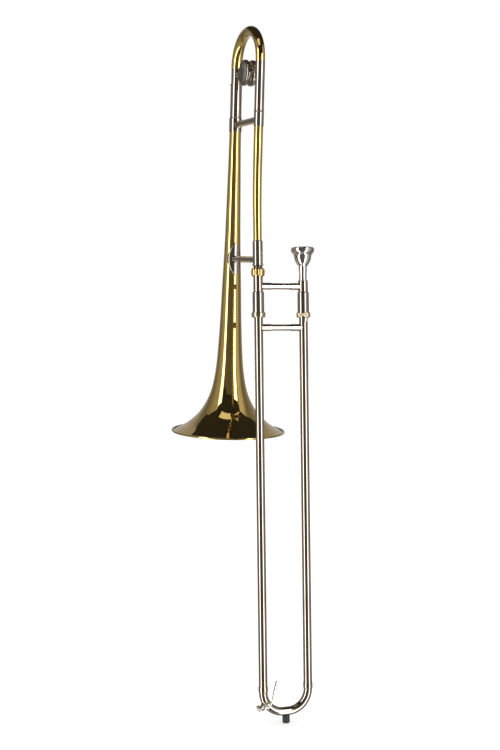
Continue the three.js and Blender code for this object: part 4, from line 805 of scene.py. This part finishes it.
# hand slide, outer part
for along, side in slideSides:
    for name, section, node, ease in (
            (f"outer_tube_{side}", "outerTube", f"outer_tube_{side}_side", 0.1),
            (f"top_ferrule_{side}", "topFerrule", f"outer_top_ferrule_{side}_side", 0.25),
            (f"bow_ferrule_{side}", "bowFerrule", f"bow_ferrule_{side}_side", 0.4)):
        ringPiece(name, slide[section], along, "outer_slide", "nickel_silver", [node], ease)

slideBow = {"top": -433.4, "cornerRadius": 35.6, "radius": 7.2, "wall": 0.45, "straight": 4.9}
straight, corner = (slideBow["straight"], 0, 0, 3), (0, slideBow["cornerRadius"], 90, 40)
bowPath = arcPath((0, slideBow["top"] + slideBow["straight"]), -90, [
    straight, corner, (spacing - 2 * slideBow["cornerRadius"], 0, 0, 5), corner, straight])
points, faces = tubeAlong(bowPath, slideBow["radius"], slideBow["wall"])
make("lower_bow", [(inSlide(points), faces)], "outer_slide", "nickel_silver", ["slide_bow"])

# bumper: seat and stem soldered under the bow, and the rubber foot pushed on to them
bumper = {"radius": 6.25, "foot": -488.8, "edge": 1.8, "lap": 1.5, "lapEdge": 1.0, "lapLean": 0.3,
          "seatRadius": 4.0, "seatDepth": 1.6, "seatHole": 4.4, "seatHoleDepth": 1.9,
          "stemRadius": 2.6, "stemFoot": 9.0, "stemHole": 2.95, "stemGap": 0.3, "bowGap": 0.05}
bowMiddle, bowUnder = spacing / 2, slideBow["top"] - slideBow["cornerRadius"] - slideBow["radius"]


def underBow(points):
    # tops that would stand in the bow are pressed down to its underside: z is at most axis - sqrt(R^2 - y^2)
    axis = slideBow["top"] - slideBow["cornerRadius"]
    wall = axis - np.sqrt(np.maximum((slideBow["radius"] + bumper["bowGap"]) ** 2 - points[:, 1] ** 2, 0))
    held = points.copy()
    held[:, 2] = np.minimum(points[:, 2], wall)
    return held


t = np.radians(np.linspace(-90, 0, 9))
foot = np.stack([bumper["radius"] - bumper["edge"] + bumper["edge"] * np.cos(t),
                 bumper["foot"] + bumper["edge"] + bumper["edge"] * np.sin(t)], axis=-1)
lap, stemFoot = bowUnder + bumper["lap"], bowUnder - bumper["stemFoot"]
holeTop, holeFoot = bowUnder - bumper["seatHoleDepth"], stemFoot - bumper["stemGap"]
rubberSection = np.concatenate([[(0, bumper["foot"])], foot, [
    (bumper["radius"], lap - bumper["lapEdge"]), (bumper["radius"] - bumper["lapLean"], lap),
    (bumper["seatHole"], lap), (bumper["seatHole"], holeTop), (bumper["stemHole"], holeTop),
    (bumper["stemHole"], holeFoot), (0, holeFoot)]])
seatFoot = bowUnder - bumper["seatDepth"]
holderSection = [(0, stemFoot), (bumper["stemRadius"], stemFoot), (bumper["stemRadius"], seatFoot),
                 (bumper["seatRadius"], seatFoot), (bumper["seatRadius"], lap), (0, lap)]
for name, section, sides, slot, node in (
        ("rubber_foot", rubberSection, 64, "black_rubber", "bumper_rubber"),
        ("foot_holder", holderSection, 48, "nickel_silver", "bumper_holder")):
    points, faces = turned(section, sides)
    make(name, [(inSlide(underBow(points), bowMiddle), faces)], "outer_slide", slot, [node], 50)

# slide lock stud on the mouthpiece-side tube
stud = {"seat": 7.32, "width": 6.0, "depth": 3.3, "top": 88.4, "length": 7.0, "ease": 0.9,
        "neckDepth": 0.8, "neckEase": 0.3, "tongueWidth": 4.0, "tongueReach": 10.3, "tongueTop": 84.3,
        "tongueThickness": 1.7, "tongueEase": 0.4}


def roundedBlock(low, high, ease, steps=9):
    # block with rounded corners: the points of a cube's six grids are pressed to the box that is smaller by
    # ease on every side, then pushed out by ease
    low, high = np.asarray(low, float), np.asarray(high, float)
    t = np.linspace(-1, 1, steps)
    u, v = [g.reshape(-1) for g in np.meshgrid(t, t, indexing="ij")]
    one = np.ones_like(u)
    sides = [np.stack(s, axis=-1) for s in ((u, v, one), (v, u, -one), (one, u, v),
                                            (-one, v, u), (u, -one, v), (v, one, u))]
    half, middle = (high - low) / 2, (high + low) / 2
    surfaces = []
    for s in sides:
        cube = s * half
        core = np.clip(cube, -(half - ease), half - ease)
        out = cube - core
        out /= np.maximum(np.linalg.norm(out, axis=1, keepdims=True), 1e-9)
        surfaces.append((middle + core + out * ease, gridFaces(steps, steps, False, False)))
    return surfaces


def aroundZ(points, degrees):
    a = math.radians(degrees)
    turn = np.array([[math.cos(a), math.sin(a), 0], [-math.sin(a), math.cos(a), 0], [0, 0, 1]])
    return np.asarray(points) @ turn


studTop, tongueTop = height(stud["top"]), height(stud["tongueTop"])
seat, half, tongueHalf = stud["seat"], stud["width"] / 2, stud["tongueWidth"] / 2
studBlocks = []
for low, high, ease in (
        ((seat, -half, studTop - stud["length"]), (seat + stud["depth"], half, studTop), stud["ease"]),
        ((seat, -tongueHalf, studTop - stud["length"] / 2), (seat + stud["neckDepth"], tongueHalf, tongueTop),
         stud["neckEase"]),
        ((seat, -tongueHalf, tongueTop - stud["tongueThickness"]),
         (stud["tongueReach"], tongueHalf, tongueTop), stud["tongueEase"])):
    studBlocks += roundedBlock(low, high, ease)
make("lock_stud", [(inSlide(aroundZ(p, lockRing["studDegrees"]), spacing), f) for p, f in studBlocks],
     "outer_slide", "silver_plate", ["slide_lock_stud"], 50)
print("outer slide made")

# water key: every shape in the key's own frame; sections are radius and outward, the arm's knots front and
# outward, the plate's along and outward
waterKey = {
    "cornerDegrees": 31, "bowGap": 0.03,
    "nipple": [(1.4, 5.0), (4.1, 5.0), (4.1, 7.8), (3.6, 8.3), (2.9, 8.7), (2.8, 9.2), (2.8, 12.0),
               (2.5, 12.4), (1.7, 12.4), (1.4, 12.1)],
    "padRadius": 4.1, "padFoot": 12.7, "padTop": 16.3,
    "cup": [(0, 16.6), (4.45, 16.6), (4.45, 15.0), (5.1, 15.0), (5.1, 17.2), (4.0, 18.1), (0, 18.2)],
    "pivotForward": 11.8, "pivotOutward": 3.8, "tubeRadius": 2.6, "tubeBore": 1.2, "tubeHalf": 3.5,
    "earFrom": 3.8, "earThickness": 1.4, "earRadius": 2.1, "earFoot": 6.5,
    # the screw's head as radius and how far it stands past the ear
    "screwRadius": 1.0, "screwHead": [(1.0, 0.05), (1.9, 0.05), (1.9, 1.0), (1.2, 1.3), (0, 1.4)],
    "saddleHalf": 5.2, "saddleMiddle": 18.5, "saddleSpread": 27, "saddleThickness": 1.0, "saddleSamples": 25,
    "saddlePower": 6, "rootHalf": 1.3,
    "armThickness": 1.5, "armWidth": 3.0,
    "arm": [(0.0, 17.6), (4.5, 17.5), (8.4, 16.4), (11.4, 13.2), (12.55, 9.0), (12.55, 4.0)],
    "plateFront": 14.95, "plateThickness": 2.0, "plateHalfWidths": [1.6, 1.7, 1.75, 2.2, 2.7, 2.8],
    "plate": [(1.5, 5.6), (2.8, 3.0), (2.7, -0.4), (0.6, -4.4), (-7.6, -13.2), (-24.2, -31.2),
              (-26.0, -33.2)],
    "springWire": 0.3, "springCoil": 3.2, "springTurns": 3, "springPitch": 0.8, "springLeg": 3.0,
    "springSamples": 260, "springSides": 12,
}


def curvedBar(knots, halfWidths, halfThickness, roundEnds=(True, True), samples=64, power=0.4, sides=28):
    # flat bar on a smooth curve in a plane, as (u, v, height over the plane):
    # centre + across w(s) sgn(cos a)|cos a|^p + up t sgn(sin a)|sin a|^p, where w(s) falls off as a circle
    # does at an end that is rounded
    line = smoothThrough(knots, samples)
    s = np.concatenate([[0], np.cumsum(np.linalg.norm(np.diff(line, axis=0), axis=1))])
    w = np.interp(s / s[-1], np.linspace(0, 1, len(halfWidths)), halfWidths)
    for here, isRound in ((s, roundEnds[0]), (s[-1] - s, roundEnds[1])):
        if isRound:
            w = w * np.sqrt(np.clip(1 - (1 - np.minimum(here / w, 1)) ** 2, 0, 1))
    heading = np.gradient(line, axis=0)
    heading /= np.linalg.norm(heading, axis=1, keepdims=True)
    across = np.stack([-heading[:, 1], heading[:, 0]], axis=-1)
    a = np.linspace(0, 2 * np.pi, sides, endpoint=False)
    side, up = [np.sign(wave) * np.abs(wave) ** power for wave in (np.cos(a), np.sin(a))]
    flat = line[:, None] + across[:, None] * (w[:, None] * side)[:, :, None]
    lift = np.broadcast_to(halfThickness * up[None, :, None], flat.shape[:2] + (1,))
    grid = np.concatenate([flat, lift], axis=-1)
    middle = np.concatenate([line, np.zeros((len(line), 1))], axis=-1)
    start, end = [np.repeat(tip, sides, axis=0)[None] for tip in (middle[:1], middle[-1:])]
    grid = np.concatenate([start, grid, end])
    return grid.reshape(-1, 3), gridFaces(len(grid), sides, closeRows=False)


def overBow(points, radius):
    # an end that would stand in the bow is pressed out to its surface: z is at least sqrt(R^2 - y^2)
    wall = np.sqrt(np.maximum(radius ** 2 - points[:, 1] ** 2, 0))
    held = points.copy()
    held[:, 2] = np.maximum(points[:, 2], wall)
    return held


def onPivot(points, along=0.0):
    # shape made about Z, laid on the key's pivot
    return moved(alongX(points), along, waterKey["pivotForward"], waterKey["pivotOutward"])


bowWall = slideBow["radius"] + waterKey["bowGap"]
points, faces = turned(waterKey["nipple"], 48)
make("key_nipple", [(inKey(overBow(points, bowWall)), faces)], "outer_slide", "nickel_silver",
     ["water_key_nipple"])


def saddleShell():
    # patch of a tube round the bow, (x, r cos t, r sin t) for its inner and outer r; u and v, which x and t
    # follow, are pulled in toward |u|^power + |v|^power = 1, which rounds the corners
    n, power = waterKey["saddleSamples"], waterKey["saddlePower"]
    u, v = np.meshgrid(np.linspace(-1, 1, n), np.linspace(-1, 1, n), indexing="ij")
    rounding = np.maximum((np.abs(u) ** power + np.abs(v) ** power) ** (1 / power), 1e-6)
    pull = np.maximum(np.maximum(np.abs(u), np.abs(v)), 1e-6) / rounding
    x = waterKey["saddleHalf"] * u * pull
    t = math.radians(waterKey["saddleMiddle"]) + math.radians(waterKey["saddleSpread"]) * v * pull
    shells = [np.stack([x, radius * np.cos(t), radius * np.sin(t)], axis=-1).reshape(-1, 3)
              for radius in (bowWall, bowWall + waterKey["saddleThickness"])]
    rim = np.concatenate([np.arange(n) * n, n * (n - 1) + np.arange(1, n),
                          np.arange(n - 2, -1, -1) * n + n - 1, np.arange(n - 2, 0, -1)])
    after = np.roll(rim, -1)
    patch = gridFaces(n, n, False, False)
    edge = np.stack([rim, after, after + n * n, rim + n * n], axis=-1)
    return np.concatenate(shells), np.concatenate([patch, patch + n * n, edge])


earSurfaces = [saddleShell()]
half, earRadius = waterKey["earThickness"] / 2, waterKey["earRadius"]
for side in (-1, 1):
    middle = side * (waterKey["earFrom"] + half)
    points, faces = turned(eased(tubeSection(0, earRadius, -half, half), 0.3), 40)
    earSurfaces.append((onPivot(points, middle), faces))
    earSurfaces += roundedBlock(
        (middle - half, waterKey["earFoot"], waterKey["pivotOutward"] - earRadius),
        (middle + half, waterKey["pivotForward"], waterKey["pivotOutward"] + earRadius), 0.25)
make("key_saddle", [(inKey(p), f) for p, f in earSurfaces], "outer_slide", "nickel_silver",
     ["water_key_saddle"], 50)

earOuter = waterKey["earFrom"] + waterKey["earThickness"]
screwSection = [(0, -earOuter), (waterKey["screwRadius"], -earOuter)]
screwSection += [(r, earOuter + past) for r, past in waterKey["screwHead"]]
points, faces = turned(eased(screwSection, 0.2), 40)
make("key_pivot_screw", [(inKey(onPivot(points)), faces)],
     "outer_slide", "bright_steel", ["water_key_screw"])


def springSurface():
    # wire round the pivot: a straight leg, three turns at an even pitch, and another leg
    coil = 2 * math.pi * waterKey["springTurns"] * waterKey["springCoil"]
    total = coil + 2 * waterKey["springLeg"]
    s = np.linspace(0, total, waterKey["springSamples"])
    wound = np.clip(s - waterKey["springLeg"], 0, coil)
    angle, beyond = wound / waterKey["springCoil"], s - waterKey["springLeg"] - wound
    line = np.stack([
        waterKey["springWire"] - waterKey["tubeHalf"] + waterKey["springPitch"] * angle / (2 * np.pi),
        waterKey["pivotForward"] + waterKey["springCoil"] * np.cos(angle) - beyond * np.sin(angle),
        waterKey["pivotOutward"] + waterKey["springCoil"] * np.sin(angle) + beyond * np.cos(angle),
    ], axis=-1)
    outward = np.stack([0 * angle, np.cos(angle), np.sin(angle)], axis=-1)
    sides = waterKey["springSides"]
    a = np.linspace(0, 2 * np.pi, sides, endpoint=False)
    grid = line[:, None] + waterKey["springWire"] * (outward[:, None] * np.cos(a)[None, :, None]
                                                     + np.array([1, 0, 0]) * np.sin(a)[None, :, None])
    start, end = [np.repeat(tip, sides, axis=0)[None] for tip in (line[:1], line[-1:])]
    grid = np.concatenate([start, grid, end])
    return grid.reshape(-1, 3), gridFaces(len(grid), sides, closeRows=False)


points, faces = springSurface()
make("key_spring", [(inKey(points), faces)], "outer_slide", "bright_steel", ["water_key_spring"], 60)

addTurned("key_cork", tubeSection(0, waterKey["padRadius"], waterKey["padFoot"], waterKey["padTop"]), 0.3,
          "water_key", "natural_cork", ["water_key_cork"], inKey, 48)
cup = turned(eased(waterKey["cup"], 0.35), 56)
armPoints, armFaces = curvedBar(waterKey["arm"], [waterKey["armThickness"] / 2] * 2, waterKey["armWidth"] / 2,
                                (False, False))
arm = (np.stack([armPoints[:, 2] + waterKey["armWidth"] / 2, armPoints[:, 0], armPoints[:, 1]], axis=-1),
       armFaces)
platePoints, plateFaces = curvedBar(waterKey["plate"], waterKey["plateHalfWidths"],
                                    waterKey["plateThickness"] / 2, power=1.0)
plate = (np.stack([platePoints[:, 0], platePoints[:, 2] + waterKey["plateFront"],
                   platePoints[:, 1]], axis=-1), plateFaces)
half, rootHalf = waterKey["tubeHalf"], waterKey["rootHalf"]
pivotPoints, pivotFaces = turned(
    eased(tubeSection(waterKey["tubeBore"], waterKey["tubeRadius"], -half, half), 0.25), 48)
pivot = (onPivot(pivotPoints), pivotFaces)
rootBlock = roundedBlock(
    (0, waterKey["pivotForward"], waterKey["pivotOutward"] - rootHalf),
    (waterKey["armWidth"], waterKey["plateFront"], waterKey["pivotOutward"] + rootHalf), 0.3)
make("key_lever", [(inKey(p), f) for p, f in [cup, arm, plate, pivot] + rootBlock], "water_key",
     "silver_plate", ["water_key_lever"], 50)
print("water key made")


# studio: camera, floor, and the panels and flags round the part that only its metal mirrors
studio = {
    "cameraPlace": (-0.6065, -2.0031, 0.1193),
    "yaw": 17.96,             # degrees between the picture's right and the plane of the hand slide
    "pitch": 0.495,           # looking down
    "roll": 0.723,
    "focalPixels": 1163.16,   # in the 750 pixels of the picture's height
    "pictureHeight": 750,
    "sensor": 36.0,
    "floorHeight": -0.4889,
    "floorReach": 40.0,
    "floorGlow": 0.42,
    "lampColour": (1.0, 0.985, 0.96, 1.0),
    "daylight": 0.9,          # what the world gives every surface that isn't a mirror
    "wallRadius": 1.7,
    "wallFoot": -3.0,         # the mirrored panels run on below the floor, which the metal doesn't mirror
    # round the part, what the metal mirrors: degrees to the picture's right of the camera, and brightness
    "wall": [(-180, 0.55), (-158, 0.40), (-146, 0.36), (-138, 0.24), (-128, 0.17), (-116, 0.18), (-108, 0.25),
             (-98, 0.28), (-84, 0.40), (-64, 0.42), (-58, 0.9), (-55, 6.5), (-42, 6.5), (-39, 0.4),
             (-35, 0.14), (20, 0.115), (27, 0.25), (34, 0.7), (37.5, 6.5), (49, 6.5), (52, 0.9), (60, 0.70),
             (68, 0.64), (86, 0.50), (93, 0.24), (104, 0.18), (122, 0.22), (136, 0.28), (148, 0.33),
             (160, 0.42), (180, 0.55)],
    # height of its upper edge in metres, by the same degrees
    "wallTop": [(-180, 1.9), (-147, 1.9), (-139, 1.79), (-124, 1.59), (-109, 1.5), (-101, 1.8), (-62, 1.85),
                (-56, 1.5), (-38, 1.35), (-33, 0.6), (-22, 0.5), (-12, 0.85), (12, 0.85), (30, 0.9),
                (36, 1.05), (52, 1.1), (60, 1.7), (90, 1.85), (112, 1.6), (127, 1.55), (150, 1.8),
                (180, 1.9)],
    "ceilingHeight": 2.2,
    "ceiling": 0.03,          # also over the wall's upper edge
    "under": 0.45,
    # a lamp over the space before the part: its middle and half sizes toward the camera and to the right
    "topLight": {"ahead": 0.64, "halfDepth": 0.2, "right": -0.16, "halfWidth": 0.36, "height": 1.25,
                 "strength": 0.95},
}


def addCamera():
    yaw, pitch, roll = [math.radians(studio[k]) for k in ("yaw", "pitch", "roll")]
    ahead = Vector((math.sin(yaw) * math.cos(pitch), math.cos(yaw) * math.cos(pitch), -math.sin(pitch)))
    level = Vector((math.cos(yaw), -math.sin(yaw), 0))
    above = level.cross(ahead)
    right = level * math.cos(roll) - above * math.sin(roll)
    up = level * math.sin(roll) + above * math.cos(roll)
    place = Matrix((right, up, -ahead)).transposed().to_4x4()
    place.translation = studio["cameraPlace"]
    data = bpy.data.cameras.new("studioCamera")
    data.sensor_width = studio["sensor"]
    data.lens = studio["focalPixels"] * studio["sensor"] / studio["pictureHeight"]
    camera = bpy.data.objects.new("studioCamera", data)
    camera.matrix_world = place
    bpy.context.scene.collection.objects.link(camera)
    bpy.context.scene.camera = camera


def stageObject(name, points, faces, material):
    mesh = bpy.data.meshes.new(name)
    mesh.from_pydata([tuple(p) for p in points], [], [tuple(int(i) for i in f) for f in faces])
    mesh.materials.append(material)
    thing = bpy.data.objects.new(name, mesh)
    bpy.context.scene.collection.objects.link(thing)
    return thing


def glow(name, colour, strength):
    material = emptyMaterial(name)
    light = addNode(material, "ShaderNodeEmission", {"Color": colour, "Strength": strength})
    addNode(material, "ShaderNodeOutputMaterial", links={"Surface": light.outputs["Emission"]})
    return material


def mirroredOnly(thing):
    # seen in the metal alone: it neither lights the part nor shows to the camera
    thing.visible_camera = False
    thing.visible_diffuse = False
    thing.visible_shadow = False


def wallRow(ring, radius, z):
    # one ring of the wall's points, at one height or at its own height for each degree
    return np.concatenate([ring * radius, np.broadcast_to(np.reshape(z, (-1, 1)), (len(ring), 1))], axis=-1)


def addWall():
    # upright wall R (cos b ahead + sin b right), a point each degree: up to its upper edge it has the
    # brightness of that degree and above it the ceiling's; then the planes under and over the part, and the
    # top light
    yaw = math.radians(studio["yaw"])
    ahead, right = np.array([-math.sin(yaw), -math.cos(yaw)]), np.array([math.cos(yaw), -math.sin(yaw)])
    at = np.arange(-180, 181)
    b = np.radians(at)[:, None]
    ring = np.cos(b) * ahead + np.sin(b) * right
    wall, top = [np.interp(at, *np.array(studio[k]).T) for k in ("wall", "wallTop")]
    r, foot, lid = studio["wallRadius"], studio["wallFoot"], studio["ceilingHeight"]
    rows = [wallRow(ring, r, z) for z in (foot, top, top, lid)]
    material = emptyMaterial("studioWall")
    held = addNode(material, "ShaderNodeAttribute", {"attribute_name": "brightness"})
    light = addNode(material, "ShaderNodeEmission", {"Color": studio["lampColour"]},
                    {"Strength": held.outputs["Fac"]})
    addNode(material, "ShaderNodeOutputMaterial", links={"Surface": light.outputs["Emission"]})
    room = stageObject("studio_wall", np.concatenate(rows), gridFaces(len(rows), len(at), False, False),
                       material)
    dark = np.full(2 * len(at), studio["ceiling"])
    room.data.attributes.new("brightness", "FLOAT", "POINT").data.foreach_set(
        "value", np.concatenate([wall, wall, dark]).astype(np.float32))
    mirroredOnly(room)
    light = studio["topLight"]
    for name, middle, half, z, strength in (
            ("studio_under", (0.0, 0.0), (r, r), foot, studio["under"]),
            ("studio_ceiling", (0.0, 0.0), (r, r), lid, studio["ceiling"]),
            ("studio_top_light", (light["ahead"], light["right"]), (light["halfDepth"], light["halfWidth"]),
             light["height"], light["strength"])):
        corners = [(*(ahead * (middle[0] + out * half[0]) + right * (middle[1] + side * half[1])), z)
                   for side, out in ((-1, -1), (1, -1), (1, 1), (-1, 1))]
        mirroredOnly(stageObject(name, corners, [(0, 1, 2, 3)],
                                 glow(name + "_glow", studio["lampColour"], strength)))


def seenDirectly(owner):
    # 1 for rays from the camera and for those that a mirror or clear thing passes on, 0 for all others
    path = addNode(owner, "ShaderNodeLightPath")
    seen = path.outputs["Is Camera Ray"]
    for kind in ("Is Glossy Ray", "Is Transmission Ray"):
        both = addNode(owner, "ShaderNodeMath", {"operation": "MAXIMUM"}, {0: seen, 1: path.outputs[kind]})
        seen = both.outputs["Value"]
    return seen


def addFloor():
    # pale floor that takes the part's shadow; it glows to the camera, and no metal mirrors it
    material = emptyMaterial("paleStudioFloor")
    strength = addNode(material, "ShaderNodeMath", {"operation": "MULTIPLY", 1: studio["floorGlow"]},
                       {0: seenDirectly(material)})
    light = addNode(material, "ShaderNodeEmission", {"Color": linear("#FFFFFF")},
                    {"Strength": strength.outputs["Value"]})
    cloth = addNode(material, "ShaderNodeBsdfDiffuse", {"Color": linear("#E8E8E8")})
    both = addNode(material, "ShaderNodeAddShader",
                   links={0: light.outputs["Emission"], 1: cloth.outputs["BSDF"]})
    addNode(material, "ShaderNodeOutputMaterial", links={"Surface": both.outputs["Shader"]})
    reach, z = studio["floorReach"], studio["floorHeight"]
    corners = [(-reach, -reach, z), (reach, -reach, z), (reach, reach, z), (-reach, reach, z)]
    stageObject("studio_floor", corners, [(0, 1, 2, 3)], material).visible_glossy = False


def addWorld():
    # white to the camera and in mirrors, a plain soft level for everything else
    world = bpy.data.worlds.new("studioWorld")
    world.use_nodes = True
    world.node_tree.nodes.clear()
    strength = addNode(world, "ShaderNodeMapRange", {"To Min": studio["daylight"], "To Max": 1.0},
                       {"Value": seenDirectly(world)})
    light = addNode(world, "ShaderNodeBackground", {"Color": linear("#FFFFFF")},
                    {"Strength": strength.outputs["Result"]})
    addNode(world, "ShaderNodeOutputWorld", links={"Surface": light.outputs["Background"]})
    bpy.context.scene.world = world


addCamera()
addWall()
addFloor()
addWorld()
bpy.context.scene.view_settings.view_transform = "Standard"
print("studio made")
